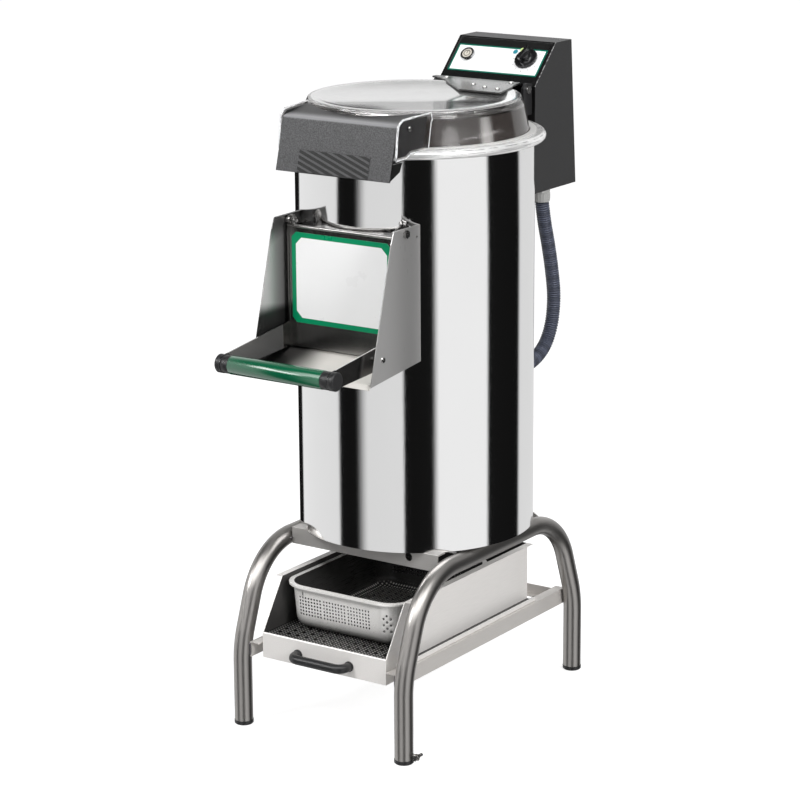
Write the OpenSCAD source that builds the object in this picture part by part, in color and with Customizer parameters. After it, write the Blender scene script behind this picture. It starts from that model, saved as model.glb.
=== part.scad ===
// Electric potato peeler on a tubular stand.
// Millimetres, +Z up, front towards -Y, origin under the middle of the machine on the floor.

/* [Stand] */
// Outside diameter of the stand tube
tube_d = 33.7; // [28:0.1:40]
// Wall of the stand tube
tube_wall = 2; // [1.5:0.5:3]
// Half the distance between the two bent tubes, centre to centre
tube_half_x = 176.5; // [170:0.5:195]
// Half the distance between a front foot and a rear foot
foot_half_y = 287; // [265:1:320]
// Height of the straight lower leg
leg_h = 120; // [100:1:160]
// Radius of the lower bend
lower_bend_r = 180; // [150:5:220]
// Lean of a leg between its bends, in degrees
leg_lean = 20; // [15:1:24]
// Straight length between the bends
slant_len = 60; // [40:1:90]
// Radius of the upper bend
upper_bend_r = 128; // [110:1:145]
// Height of the plastic foot cap under a tube
foot_h = 8; // [4:1:15]
// Height of the drawer rail
rail_h = 29; // [24:1:36]
// Thickness of the rail sheet
rail_t = 2; // [1.5:0.5:3]
// Height of a cross plate under the drum
cross_h = 31.5; // [26:0.5:40]
// Thickness of a cross plate
cross_t = 3; // [2:0.5:5]
// Width of a cross plate's top flange
cross_flange = 25; // [20:1:28]
// Distance of the cross plates from the drum's axis
cross_from_axis = 168; // [160:1:175]

/* [Drum] */
// Outside radius of the drum
drum_r = 215; // [205:1:220]
// Thickness of the drum sheet
drum_wall = 2; // [1.5:0.5:3]
// Height of the drum up to the middle of its rim
drum_h = 716; // [690:1:740]
// Distance of the drum's axis behind the middle of the stand
drum_axis_y = 18; // [10:1:24]
// Half height of the rolled rim
rim_half = 8; // [6:0.5:9]
// Width of the rolled rim outside the drum
rim_out = 19.5; // [16:0.5:22]
// Height of the motor bay under the chamber
bay_h = 325; // [315:1:335]
// Thickness of the bay's bottom plate and of the chamber floor
plate_t = 3; // [2:0.5:5]
// Thickness of the abrasive wall lining
liner_t = 6; // [4:0.5:8]

/* [Chute] */
// Width of the chute's neck, outside
neck_w = 224; // [200:2:230]
// Height of the chute's neck, outside
neck_h = 219; // [200:1:225]
// Thickness of the chute sheets
chute_t = 2; // [1.5:0.5:3]
// Distance of the neck's front from the drum's front
neck_reach = 10.5; // [8:0.5:16]
// Half the distance between the outer faces of the cheeks
cheek_half = 127.5; // [125:0.5:135]
// Thickness of the door sheet
door_t = 1.5; // [1:0.5:3]
// Reach of the door handle in front of the neck
handle_reach = 193.5; // [170:0.5:210]
// Outside diameter of the handle's sleeve
sleeve_d = 33; // [30:1:38]
// Diameter of the handle's steel tube
handle_d = 26; // [22:1:28]
// Half length of the handle
handle_half = 125; // [124:1:135]
// Half length of the green sleeve
sleeve_half = 97.5; // [80:0.5:105]
// Diameter of a door pivot bolt
door_pin_d = 8; // [6:1:9]

/* [Lid] */
// Radius of the lid at its base
lid_r = 207; // [200:1:209]
// Narrowing of the lid from its base to its top edge
lid_taper = 16.5; // [14:0.5:22]
// Height of the lid over the middle of the rim
lid_h = 70; // [62:1:76]
// Thickness of the clear lid
lid_t = 3.5; // [3:0.5:5]
// Half width of the front cover
cover_half = 120; // [112:1:126]
// Thickness of the front cover
cover_t = 3; // [2:0.5:4]
// Drop of the front cover below the rim
cover_drop = 38.5; // [32:0.5:44]
// Number of ribs on the cover's grip
rib_count = 10; // [6:1:12]
// Diameter of the hinge pin
hinge_pin_d = 8; // [6:1:9]
// Half length between the hinge ears
hinge_half = 93; // [85:1:95]

/* [Control box] */
// Half width of the control box
box_half = 105.5; // [98:0.5:112]
// Depth of the control box at its bottom
box_depth = 148; // [138:1:160]
// Height of the control box above the rim
box_rise = 135; // [130:1:145]
// Drop of the control box below the rim
box_drop = 136.5; // [120:0.5:150]
// Thickness of the control box sheet
box_t = 2; // [1.5:0.5:3]
// Length of the sloping control panel
panel_len = 86.5; // [80:0.5:92]
// Diameter of the start button's bezel
bezel_d = 30.8; // [28:0.2:33]
// Diameter of the start button
button_d = 21.6; // [18:0.2:23]
// Travel of the start button
button_travel = 4; // [3:0.5:5]
// Diameter of the timer knob
knob_d = 45; // [38:1:48]
// Height of the timer knob
knob_h = 22; // [18:1:26]
// Outside diameter of the conduit
conduit_d = 25; // [20:1:27]

/* [Drawer] */
// Gap between a side of the drawer and the lip of its rail
drawer_side_gap = 4; // [3:0.5:8]
// Length of the drawer
drawer_len = 471; // [440:1:490]
// Height of the drawer's side walls
drawer_h = 137.5; // [125:0.5:145]
// Thickness of the drawer sheet
drawer_t = 1.5; // [1:0.5:2]
// Length of the perforated pan
pan_len = 325; // [300:5:340]
// Gap between the perforated pan and a side of the drawer
pan_side_gap = 2.5; // [2:0.5:8]
// Depth of the perforated pan
pan_h = 85; // [65:1:90]
// Half length of the drawer's bow handle
bow_half = 56; // [48:1:70]
// Diameter of the bow handle's bar
bow_d = 17; // [13:1:20]

/* [Drive] */
// Diameter of the drive shaft
shaft_d = 25; // [20:1:28]
// Radius of the abrasive disc
disc_r = 198; // [190:1:200]
// Thickness of the abrasive disc
disc_t = 10; // [8:1:14]
// Diameter of the driven pulley
driven_d = 180; // [150:5:190]
// Diameter of the motor pulley
motor_pulley_d = 50; // [40:2:60]
// Distance between the drive shaft and the motor shaft
shaft_spacing = 130; // [125:1:135]
// Diameter of the motor
motor_d = 140; // [120:2:144]
// Height of the motor
motor_h = 170; // [150:1:175]
// Width of the motor plate
motor_plate_w = 200; // [190:1:215]
// Length of the motor plate
motor_plate_len = 216; // [200:1:230]
// Distance of the motor plate under the chamber floor
motor_drop = 200; // [185:1:205]

/* [Hidden] */
$fn = 64;
steel = "silver";
dark = [0.17, 0.17, 0.18];
black = [0.05, 0.05, 0.05];
green = [0.02, 0.42, 0.26];
// Small clearances: a moving fit, a seat, and two flat sheets beside each other
fit = 0.05;
seat = 0.3;
slip = 0.5;
over = 1;

// Stand
tube_r = tube_d / 2;
lean_rise = lower_bend_r * sin(leg_lean);
lean_run = lower_bend_r * (1 - cos(leg_lean));
slant_top_z = leg_h + lean_rise + slant_len * cos(leg_lean);
slant_top_y = foot_half_y - lean_run - slant_len * sin(leg_lean);
top_half_y = slant_top_y - upper_bend_r * cos(leg_lean);
stand_axis_z = slant_top_z + upper_bend_r * (1 - sin(leg_lean));
between_tubes = tube_half_x - tube_r;
rail_x = between_tubes - 0.15;
rail_z = 131;
rail_lip = 20.5;
rail_gusset_y = foot_half_y - 10;

// Drum
drum_lift = 3.5;
drum_z = stand_axis_z + tube_r + drum_lift;
drum_in = drum_r - drum_wall;
rim_z = drum_z + drum_h;
rim_r = drum_r + rim_out;
rim_lip_r = lid_r + 2.5;
rim_top_z = rim_z + rim_half;
chamber_z = drum_z + bay_h;
chamber_top = chamber_z + plate_t;
function drum_y(x, r = drum_r) = drum_axis_y - sqrt(r * r - x * x);
function drum_back_y(x, r = drum_r) = drum_axis_y + sqrt(r * r - x * x);

// Chute and door
neck_z = chamber_z + 31.5;
neck_top = neck_z + neck_h;
neck_half = neck_w / 2;
neck_y = drum_axis_y - drum_r - neck_reach;
mouth_half = neck_half - 10;
mouth_z = neck_z + chute_t + 3;
mouth_h = neck_h - 23;
mouth_corner = 12;
gasket_t = 2.2;
door_y = neck_y - gasket_t - seat;
door_z = neck_z + chute_t + 2;
pivot_y = neck_y + 6.5;
pivot_z = neck_top + 9;
pivot_boss_r = 10;
arm_x = neck_half + seat;
arm_t = 2.5;
arm_drop = 44;
handle_y = neck_y - handle_reach;
handle_z = neck_z + 9.5;
cheek_in = cheek_half - chute_t;
lip_y = neck_y - 98;
lip_z = neck_z - 19;
label_half = neck_half - 6;
label_z = neck_z + 48;
label_top = neck_top - 9;
label_cut = 9;
label_t = 0.8;

// Lid and hinge
lid_top_r = lid_r - lid_taper;
lid_top_z = rim_z + lid_h;
shoulder_z = lid_top_z - 15;
cover_edge_y = drum_axis_y - rim_r + 2.5;
cover_edge_z = lid_top_z - 14.3;
cover_foot_y = cover_edge_y - 23;
cover_foot_z = rim_z - cover_drop;
cover_round = 7;
cover_lean = atan((cover_edge_y - cover_foot_y) / (cover_edge_z - cover_foot_z));
cover_top_slope = atan(13.3 / 79);
ear_len = drum_axis_y - 163 - cover_foot_y;
ear_flare = 10;
ear_screw_y = cover_edge_y + 25;
ear_screw_z = rim_z + 49;
hinge_y = drum_axis_y + 222;
hinge_z = lid_top_z - 11.7;
knuckle_r = 7.5;
leaf_t = 3;
hinge_ear_t = 6;

// Control box
box_y = drum_axis_y + rim_r + 3.5;
box_z = rim_z - box_drop;
box_top = rim_z + box_rise;
panel_angle = 45;
panel_top_y = box_y + 12 + panel_len * cos(panel_angle);
panel_foot = [panel_top_y - panel_len * cos(panel_angle), box_top - panel_len * sin(panel_angle)];
box_outline = [
    [box_y, box_z], [box_y + box_depth, box_z], [box_y + box_depth - 19.3, box_top],
    [panel_top_y, box_top], panel_foot, [box_y, panel_foot[1] - 12]
];
button_x = -68;
knob_x = 60;
panel_mid = 43;
label_inset = 1;
timer_shaft_d = 6;
bracket_z = box_z + 28;
bracket_h = 80;
bracket_half = 60;
gland_x = 82;
gland_y = box_y + 65;
gland_r = 14.5;
mains_x = -50;
mains_hole_d = 10;
entry_x = 75;
entry_z = drum_z + 242;
// Route of the conduit, from the gland under the box to its entry at the back of the drum
conduit_route = [
    [82, 321, 895.6], [82, 324, 881], [82, 332, 849], [82, 345, 808], [82, 358, 758],
    [82, 366, 708], [81, 362, 660], [80, 345, 624], [79, 318, 602], [77, 285, 590],
    [75, 255, 585], [75, 234, 584]
];

// Drawer
drawer_half = rail_x - rail_lip - drawer_side_gap;
pan_half = drawer_half - pan_side_gap;
drawer_y = -281;
drawer_z = rail_z + 2.5;
drawer_back = drawer_y + drawer_len;
drawer_top = drawer_z + drawer_h;
strip_h = 46;
wall_start = drawer_y + 61;
runner_z = rail_z + rail_h + seat;
runner_x = between_tubes - 6.5;
filter_z = drawer_z + 43;
filter_t = 1.5;
pan_y = drawer_y + 46;
pan_z = filter_z + filter_t;
pan_corner = 50;
pan_t = 1.2;
// Width of the pan's flange, slope of its walls and rounding of its bottom edge
pan_flange = 8;
pan_slope = 5;
pan_fillet = 22;
bow_z = drawer_z + 20;
bow_reach = 24;
bow_round = 16;

// Drive
waste_r = 22;
waste_x = -95;
waste_y = drum_axis_y - 113;
waste_z = drum_z - 42;
water_x = -60;
water_z = rim_z - 190;
water_r = 10.5;
disc_z = chamber_top + 20;
hub_r = 32;
housing_r = 38;
housing_h = 110;
bearing_h = 15;
motor_plate_z = chamber_z - motor_drop;
motor_plate_t = 5;
post_r = 7;
motor_y = drum_axis_y + shaft_spacing;
pulley_h = 22;
pulley_z = motor_plate_z - 38;
belt_w = 12;
belt_t = 5;
shaft_end = pulley_z - 6;

// The sub-parts are drawn from the middle of the stand; this puts the origin under the whole machine
front_reach = handle_y - sleeve_d / 2;
back_reach = box_y + box_depth;
module seated() translate([0, -(front_reach + back_reach) / 2, 0]) children();

// ---- helpers ----

// Points of a closed outline moved inwards by t, for outlines that run counter-clockwise
function unit(v) = v / norm(v);
function left_of(v) = [-v[1], v[0]];
function inset(p, t) = let (n = len(p)) [
    for (i = [0:n - 1])
        let (a = left_of(unit(p[i] - p[(i + n - 1) % n])), b = left_of(unit(p[(i + 1) % n] - p[i])))
            p[i] + t * (a + b) / (1 + a * b)
];

// An outline in Y and Z drawn out along X from x0 to x1
module across(x0, x1) translate([x0, 0, 0]) rotate([90, 0, 90]) linear_extrude(x1 - x0) children();

// A round bar or a round hole along X, along Y or along Z
module bar_x(x0, x1, r, y = 0, z = 0) translate([x0, y, z]) rotate([0, 90, 0]) cylinder(h = x1 - x0, r = r);
module bar_y(y0, y1, r, x = 0, z = 0) translate([x, y0, z]) rotate([-90, 0, 0]) cylinder(h = y1 - y0, r = r);
module bar_z(z0, z1, r, x = 0, y = 0) translate([x, y, z0]) cylinder(h = z1 - z0, r = r);

module both_sides() {
    children();
    mirror([1, 0, 0]) children();
}

module rounded(w, h, r) {
    square([w - 2 * r, h], center = true);
    square([w, h - 2 * r], center = true);
    for (x = [-1, 1], y = [-1, 1]) translate([x * (w / 2 - r), y * (h / 2 - r)]) circle(r);
}

// A profile, given as radius and height, run round a rounded rectangle whose corner centres are given
module run_round(cx, cy) {
    for (side = [0:3])
        rotate([0, 0, 90 * side]) {
            along = side % 2 == 0 ? cy : cx;
            out = side % 2 == 0 ? cx : cy;
            translate([out, along, 0]) rotate([90, 0, 0]) linear_extrude(2 * along) children();
            translate([out, along, 0]) rotate_extrude(angle = 90) children();
        }
}

// The drum's solid cylinder, for trimming what is welded to it
module drum_body(z0, z1, r = drum_r) bar_z(z0, z1, r, 0, drum_axis_y);

// Moves a shape on to the sloping panel: X across, Y up the slope, Z out of the panel
module on_panel(x, along) translate([x, panel_foot[0], panel_foot[1]]) rotate([panel_angle, 0, 0])
    translate([0, along, 0]) children();

module hex_bolt(d, length) {
    cylinder(h = length, r = d / 2);
    translate([0, 0, -0.65 * d]) cylinder(h = 0.65 * d, r = 0.95 * d, $fn = 6);
}

module pan_head(d, length) {
    cylinder(h = length, r = d / 2);
    translate([0, 0, -0.4 * d]) cylinder(h = 0.4 * d, r1 = 0.75 * d, r2 = d);
}

// ---- stand ----

module tube_ring() difference() {
    circle(tube_r);
    circle(tube_r - tube_wall);
}

// Half of a bent tube: leg, lower bend, slanted stretch, upper bend and half of the top
module bent_half() {
    translate([0, foot_half_y, foot_h]) linear_extrude(leg_h - foot_h) tube_ring();
    translate([0, foot_half_y - lower_bend_r, leg_h]) rotate([90, 0, 90])
        rotate_extrude(angle = leg_lean) translate([lower_bend_r, 0]) tube_ring();
    translate([0, foot_half_y - lean_run, leg_h + lean_rise]) rotate([leg_lean, 0, 0])
        linear_extrude(slant_len) tube_ring();
    translate([0, top_half_y, stand_axis_z - upper_bend_r]) rotate([90, 0, 90]) rotate([0, 0, leg_lean])
        rotate_extrude(angle = 90 - leg_lean) translate([upper_bend_r, 0]) tube_ring();
    translate([0, top_half_y, stand_axis_z]) rotate([90, 0, 0]) linear_extrude(top_half_y) tube_ring();
}

module bent_tube() {
    bent_half();
    mirror([0, 1, 0]) bent_half();
}

module left_frame_tube() color(steel) seated() translate([-tube_half_x, 0, 0]) bent_tube();
module right_frame_tube() color(steel) seated() translate([tube_half_x, 0, 0]) bent_tube();

module foot_caps() color(black) seated()
    for (x = [-1, 1], y = [-1, 1]) translate([x * tube_half_x, y * foot_half_y, 0]) {
        cylinder(h = 2, r1 = tube_r - 1.5, r2 = tube_r + 0.7);
        translate([0, 0, 2]) cylinder(h = foot_h - 2, r = tube_r + 0.7);
        translate([0, 0, foot_h]) cylinder(h = 22, r = tube_r - tube_wall - fit);
    }

// An angle under the drum: upright web and a top flange that points to the drum's axis
module cross_angle() {
    translate([-rail_x, -cross_t, drum_z - cross_h]) cube([2 * rail_x, cross_t, cross_h]);
    translate([-rail_x, -cross_t, drum_z - cross_t]) cube([2 * rail_x, cross_flange, cross_t]);
}

drum_bolt_x = 110;
module flange_bolts() for (x = [-1, 1]) translate([x * drum_bolt_x, cross_flange - 11, 0]) children();

module front_cross_plate() color(steel) seated() translate([0, drum_axis_y - cross_from_axis, 0])
    difference() {
        cross_angle();
        bar_y(-cross_t - over, over, 8, 97, drum_z - 13);
        flange_bolts() bar_z(drum_z - cross_t - over, drum_z + over, 4 + fit);
    }

module rear_cross_plate() color(steel) seated() translate([0, drum_axis_y + cross_from_axis, 0])
    mirror([0, 1, 0]) difference() {
        cross_angle();
        flange_bolts() bar_z(drum_z - cross_t - over, drum_z + over, 4 + fit);
        both_sides() translate([0, 2 * cross_flange, 0]) rotate([90, 0, 0]) linear_extrude(3 * cross_flange)
            polygon([
                [rail_x - 26, drum_z + over], [rail_x + over, drum_z + over], [rail_x + over, drum_z - 15]
            ]);
    }

module drum_bolts() color(steel) seated()
    for (end = [-1, 1]) translate([0, drum_axis_y + end * cross_from_axis, 0]) mirror([0, end == 1 ? 1 : 0, 0])
        flange_bolts() translate([0, 0, drum_z - cross_t]) hex_bolt(8, cross_t + plate_t + 8);

module drawer_rails() color(steel) seated() {
    both_sides() {
        translate([rail_x - rail_t, -foot_half_y, rail_z]) cube([rail_t, 2 * foot_half_y, rail_h]);
        translate([rail_x - rail_lip, -foot_half_y, rail_z + rail_h - rail_t])
            cube([rail_lip, 2 * foot_half_y, rail_t]);
    }
    translate([-rail_x, foot_half_y - rail_t, rail_z + 3]) cube([2 * rail_x, rail_t, rail_h - 9]);
    translate([-rail_x + rail_t, rail_gusset_y - 8, rail_z + 3])
        cube([2 * (rail_x - rail_t), foot_half_y - rail_gusset_y + 8, rail_t]);
}

lug_t = 3;
lug_x = tube_half_x + tube_r + 8;
lug_z = foot_h + seat + 6.5;
module bonding_lug() color(steel) seated() difference() {
    translate([0, lug_t / 2 - foot_half_y, 0]) rotate([90, 0, 0]) linear_extrude(lug_t) polygon([
        [lug_x - 14, lug_z - 6.5], [lug_x - 3, lug_z - 6.5], [lug_x + 7, lug_z - 3.5], [lug_x + 7, lug_z + 2.5],
        [lug_x - 2, lug_z + 6.5], [lug_x - 14, lug_z + 6.5]
    ]);
    bar_z(0, 2 * lug_z, tube_r + seat, tube_half_x, -foot_half_y);
    bar_y(-foot_half_y - 5, -foot_half_y + 5, 3 + fit, lug_x, lug_z);
}
module bonding_bolt() color(steel) seated() translate([lug_x, -foot_half_y - lug_t / 2, lug_z])
    rotate([-90, 0, 0]) {
        hex_bolt(6, 20);
        translate([0, 0, lug_t]) difference() {
            cylinder(h = 5, r = 5.7, $fn = 6);
            translate([0, 0, -over]) cylinder(h = 7, r = 3);
        }
    }

// ---- drum ----

module base_plate() color(steel) seated() difference() {
    drum_body(drum_z, drum_z + plate_t, drum_in - 0.1);
    bar_z(drum_z - over, drum_z + plate_t + over, waste_r + 0.2, waste_x, waste_y);
    for (end = [-1, 1]) translate([0, drum_axis_y + end * cross_from_axis, 0])
        mirror([0, end == 1 ? 1 : 0, 0])
            flange_bolts() bar_z(drum_z - over, drum_z + plate_t + over, 4 + fit);
}

module mouth_cut(margin = 0) translate([0, drum_axis_y, mouth_z + mouth_h / 2]) rotate([90, 0, 0])
    linear_extrude(2 * drum_r) rounded(2 * (mouth_half - 4) + 2 * margin, mouth_h + 2 * margin, mouth_corner);

// Rolled rim on top of the drum's wall
module drum_rim() color(steel) seated() translate([0, drum_axis_y, 0]) rotate_extrude($fn = 128) {
    translate([rim_r - rim_half, rim_z]) circle(rim_half);
    translate([rim_lip_r, rim_top_z - drum_wall]) square([rim_r - rim_half - rim_lip_r, drum_wall]);
    translate([drum_in, rim_z - rim_half]) square([rim_r - rim_half - drum_in, drum_wall]);
    translate([drum_in, rim_z - rim_half]) square([drum_wall, 2 * rim_half]);
}

module drum_shell() color(steel) seated() difference() {
    translate([0, drum_axis_y, 0]) rotate_extrude($fn = 128) {
        translate([drum_in, drum_z]) square([drum_wall, drum_h - rim_half]);
    }
    mouth_cut();
    bar_y(drum_axis_y, drum_axis_y + 2 * drum_r, conduit_d / 2 - 2, entry_x, entry_z);
    bar_y(drum_axis_y, drum_axis_y + 2 * drum_r, water_r + fit, water_x, water_z);
}

module chamber_floor() color(steel) seated() difference() {
    drum_body(chamber_z, chamber_top, drum_in - 0.1);
    drum_body(chamber_z - over, chamber_top + over, housing_r - 10);
    bar_z(chamber_z - over, chamber_top + over, waste_r + 0.2, waste_x, waste_y);
    around_housing() bar_z(chamber_z - over, chamber_top + over, 3 + fit);
}

module abrasive_liner() color([0.35, 0.33, 0.30]) seated() difference() {
    drum_body(chamber_top, rim_z - 60, drum_in - 0.1);
    drum_body(chamber_top - over, rim_z, drum_in - liner_t);
    mouth_cut(1);
    bar_y(drum_axis_y, drum_axis_y + 2 * drum_r, water_r + 1, water_x, water_z);
}

module waste_pipe() color(steel) seated() difference() {
    union() {
        bar_z(waste_z, chamber_top, waste_r, waste_x, waste_y);
        bar_z(waste_z, waste_z + 6, waste_r + 2, waste_x, waste_y);
    }
    bar_z(waste_z - over, chamber_top + over, waste_r - 2, waste_x, waste_y);
}

water_y = drum_back_y(water_x);
module water_inlet() color("goldenrod") seated() difference() {
    union() {
        bar_y(water_y - 12, water_y + 34, water_r, water_x, water_z);
        difference() {
            translate([water_x, water_y, water_z]) rotate([-90, 0, 0]) cylinder(h = 10, r = 16, $fn = 6);
            drum_body(water_z - 40, water_z + 40, drum_r + fit);
        }
    }
    drum_body(water_z - 40, water_z + 40, drum_in - liner_t);
    bar_y(water_y - 20, water_y + 40, 7.5, water_x, water_z);
}

// ---- chute ----

module chute_neck() color(steel) seated() difference() {
    translate([-neck_half, neck_y, neck_z]) cube([neck_w, drum_axis_y - neck_y, neck_h]);
    translate([-neck_half + chute_t, neck_y - over, neck_z + chute_t])
        cube([neck_w - 2 * chute_t, drum_r + neck_reach + 2 * over, neck_h - 2 * chute_t]);
    drum_body(neck_z - over, neck_top + over);
}

cheek_outline = [
    [0, neck_z + 11], [lip_y - 2.5, neck_z - 21], [neck_y - 36.5, neck_top - 3],
    [neck_y - 27.5, neck_top + 18], [0, neck_top + 20]
];
cheek_rivets = [[neck_y + 17.5, neck_top + 7], [neck_y + 40.5, neck_top - 1]];
module chute_cheeks() color(steel) seated() both_sides() difference() {
    union() {
        across(cheek_in, cheek_half) polygon(cheek_outline);
        across(cheek_in - 3, cheek_half)
            polygon([[neck_y - 27.5, neck_top + 18], [0, neck_top + 20], [0, neck_top + 18.5],
                     [neck_y - 27.5, neck_top + 16.5]]);
    }
    drum_body(neck_z - 60, neck_top + 60);
    bar_x(cheek_in - 12, cheek_half + over, door_pin_d / 2, pivot_y, pivot_z);
    bar_x(cheek_in - over, cheek_half + over, 3, lip_y + 34, neck_z + 21);
    for (p = cheek_rivets) bar_x(cheek_in - over, cheek_half + over, 2, p[0], p[1]);
}

module chute_floor() color(steel) seated() difference() {
    across(-cheek_in, cheek_in) polygon([
        [neck_y, neck_z], [neck_y, neck_z + chute_t], [lip_y, lip_z + chute_t],
        [lip_y - 6, lip_z - 6], [lip_y - 4, lip_z - 6.8], [lip_y + 0.8, lip_z]
    ]);
}

module chute_screws() color(steel) seated() both_sides() {
    translate([cheek_half, lip_y + 34, neck_z + 21]) rotate([0, -90, 0]) pan_head(6, chute_t + 5);
    for (p = cheek_rivets) translate([cheek_in, p[0], p[1]]) rotate([0, 90, 0]) pan_head(4, chute_t + 1);
}

module door_pivots() color(steel) seated() both_sides() {
    translate([cheek_half, pivot_y, pivot_z]) rotate([0, -90, 0])
        hex_bolt(door_pin_d, cheek_half - arm_x + 6);
    difference() {
        bar_x(arm_x + arm_t + seat, cheek_in, door_pin_d / 2 + 3, pivot_y, pivot_z);
        bar_x(arm_x, cheek_half, door_pin_d / 2, pivot_y, pivot_z);
    }
    translate([arm_x - seat - 5, pivot_y, pivot_z]) rotate([0, 90, 0]) difference() {
        cylinder(h = 5, r = 1.05 * door_pin_d * 0.9, $fn = 6);
        translate([0, 0, -over]) cylinder(h = 7, r = door_pin_d / 2);
    }
}

arm_outline = [
    [pivot_y + pivot_boss_r - 1, pivot_z], [pivot_y + pivot_boss_r - 4, pivot_z - 14],
    [door_y + 8, label_top - 20], [door_y + 8, door_z], [handle_y, handle_z - sleeve_d / 2],
    [handle_y, handle_z + sleeve_d / 2], [door_y - 3, door_z + arm_drop],
    [door_y - 3, label_top], [pivot_y - pivot_boss_r + 1, pivot_z]
];
module door_panel() color(steel) seated() {
    translate([-arm_x, door_y - door_t, door_z]) cube([2 * arm_x, door_t, neck_top - door_z]);
    bar_x(-arm_x, arm_x, 3, door_y - 3, neck_top + 2);
    both_sides() difference() {
        across(arm_x, arm_x + arm_t) {
            polygon([for (i = [len(arm_outline) - 1:-1:0]) arm_outline[i]]);
            translate([pivot_y, pivot_z]) circle(pivot_boss_r);
            translate([handle_y, handle_z]) circle(sleeve_d / 2);
        }
        bar_x(arm_x - over, arm_x + arm_t + over, door_pin_d / 2 + fit, pivot_y, pivot_z);
        bar_x(arm_x - over, arm_x + arm_t + over, handle_d / 2, handle_y, handle_z);
    }
}

module door_label() color("white") seated() translate([0, door_y - door_t, (label_z + label_top) / 2])
    rotate([90, 0, 0]) linear_extrude(label_t) difference() {
        square([2 * label_half, label_top - label_z], center = true);
        for (x = [-1, 1], z = [-1, 1]) translate([x * label_half, z * (label_top - label_z) / 2])
            rotate([0, 0, 45]) square(label_cut * sqrt(2), center = true);
    }

module door_gasket() color(black) seated()
    translate([0, door_y, (door_z + neck_top) / 2]) rotate([90, 0, 0]) mirror([0, 0, 1])
        run_round(neck_half - 16, (neck_top - door_z) / 2 - 16)
            translate([9, 0]) square([6, gasket_t]);

module handle_tube() color(steel) seated() difference() {
    bar_x(-handle_half + 4, handle_half - 4, handle_d / 2, handle_y, handle_z);
    bar_x(-handle_half, handle_half, handle_d / 2 - 2, handle_y, handle_z);
}

module handle_sleeve() color(green) seated() difference() {
    bar_x(-sleeve_half, sleeve_half, sleeve_d / 2, handle_y, handle_z);
    bar_x(-sleeve_half - over, sleeve_half + over, handle_d / 2 + 0.1, handle_y, handle_z);
}

module handle_caps() color(black) seated() both_sides() translate([0, handle_y, handle_z]) rotate([0, 90, 0]) {
    difference() {
        translate([0, 0, arm_x + arm_t]) cylinder(h = handle_half - arm_x - arm_t - 2, r = sleeve_d / 2);
        translate([0, 0, arm_x]) cylinder(h = handle_half - 4 - arm_x, r = handle_d / 2 + 0.1);
    }
    translate([0, 0, handle_half - 2]) cylinder(h = 2, r1 = sleeve_d / 2, r2 = sleeve_d / 2 - 2);
    difference() {
        translate([0, 0, sleeve_half]) cylinder(h = arm_x - sleeve_half, r = sleeve_d / 2 - 0.5);
        translate([0, 0, sleeve_half - over]) cylinder(h = arm_x, r = handle_d / 2 + 0.1);
    }
}

// ---- lid ----

lid_outline = [
    [lid_r, rim_z], [lid_top_r + 6, shoulder_z], [lid_top_r + 5, shoulder_z + 6],
    [lid_top_r, lid_top_z - 2], [lid_top_r - 4, lid_top_z], [lid_top_r - 20, lid_top_z],
    [lid_top_r - 28, lid_top_z - 3], [0, lid_top_z - 3], [0, lid_top_z - 3 - lid_t],
    [lid_top_r - 29, lid_top_z - 3 - lid_t], [lid_top_r - 21, lid_top_z - lid_t],
    [lid_top_r - 6, lid_top_z - lid_t], [lid_top_r + 1.2, shoulder_z + 4.5],
    [lid_top_r + 6 - lid_t, shoulder_z - 0.6], [lid_r - lid_t, rim_z]
];
module lid_inside() translate([0, drum_axis_y, 0]) rotate_extrude($fn = 128) polygon([
    [0, rim_z - 40], [lid_r - lid_t, rim_z - 40], [lid_r - lid_t, rim_z],
    [lid_top_r + 6 - lid_t, shoulder_z - 0.6], [lid_top_r - 6, lid_top_z - lid_t], [0, lid_top_z - lid_t]
]);
// The space that the rim and its running clearance take up
module rim_space() translate([0, drum_axis_y, 0]) difference() {
    translate([0, 0, rim_z - 60]) cylinder(h = 60 + rim_half + seat, r = rim_r + 1);
    translate([0, 0, rim_z - 61]) cylinder(h = 80, r = lid_r + 0.2);
}

// One side ear of the clear moulding, seen from the side, its front edge at 0
ear_outline = [
    [1, rim_z - 4], [11, rim_z], [ear_len - 10, rim_z + 12], [ear_len + 1, shoulder_z + 3],
    [ear_len - 1, lid_top_z + 1], [21, lid_top_z - 4], [11, lid_top_z - 12]
];
// Points of a line that runs under the front cover, at a distance from its outer face
function under_cover(gap) = [
    [cover_foot_y + gap + (rim_z - 4 - cover_foot_z) * tan(cover_lean), rim_z - 4],
    [cover_edge_y + gap + 1, cover_edge_z - 11], [cover_edge_y + 10, cover_edge_z + 1.5 - gap],
    [cover_edge_y + 60, cover_edge_z + 60 * tan(cover_top_slope) - gap]
];
module lid_dome() color([0.8, 0.85, 0.88, 0.35]) seated() difference() {
    union() {
        translate([0, drum_axis_y, 0]) rotate_extrude($fn = 128) polygon(lid_outline);
        difference() {
            union() {
                both_sides() translate([cover_half + 0.3, cover_foot_y + 13, 0]) rotate([0, 0, -ear_flare])
                    across(0, cover_t) polygon(ear_outline);
                across(-cover_half - 2, cover_half + 2) polygon(concat(
                    under_cover(cover_t + 1.5), [for (i = [3:-1:0]) under_cover(cover_t + 4.5)[i]]
                ));
            }
            lid_inside();
            across(-cover_half - 40, cover_half + 40) polygon([
                [drum_axis_y - 120, rim_z], [drum_axis_y, rim_z], [drum_axis_y, box_top],
                [drum_axis_y - 120, box_top]
            ]);
        }
    }
    rim_space();
    both_sides() bar_x(cover_half - 10, cover_half + 20, 2.6, ear_screw_y, ear_screw_z);
}

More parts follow.
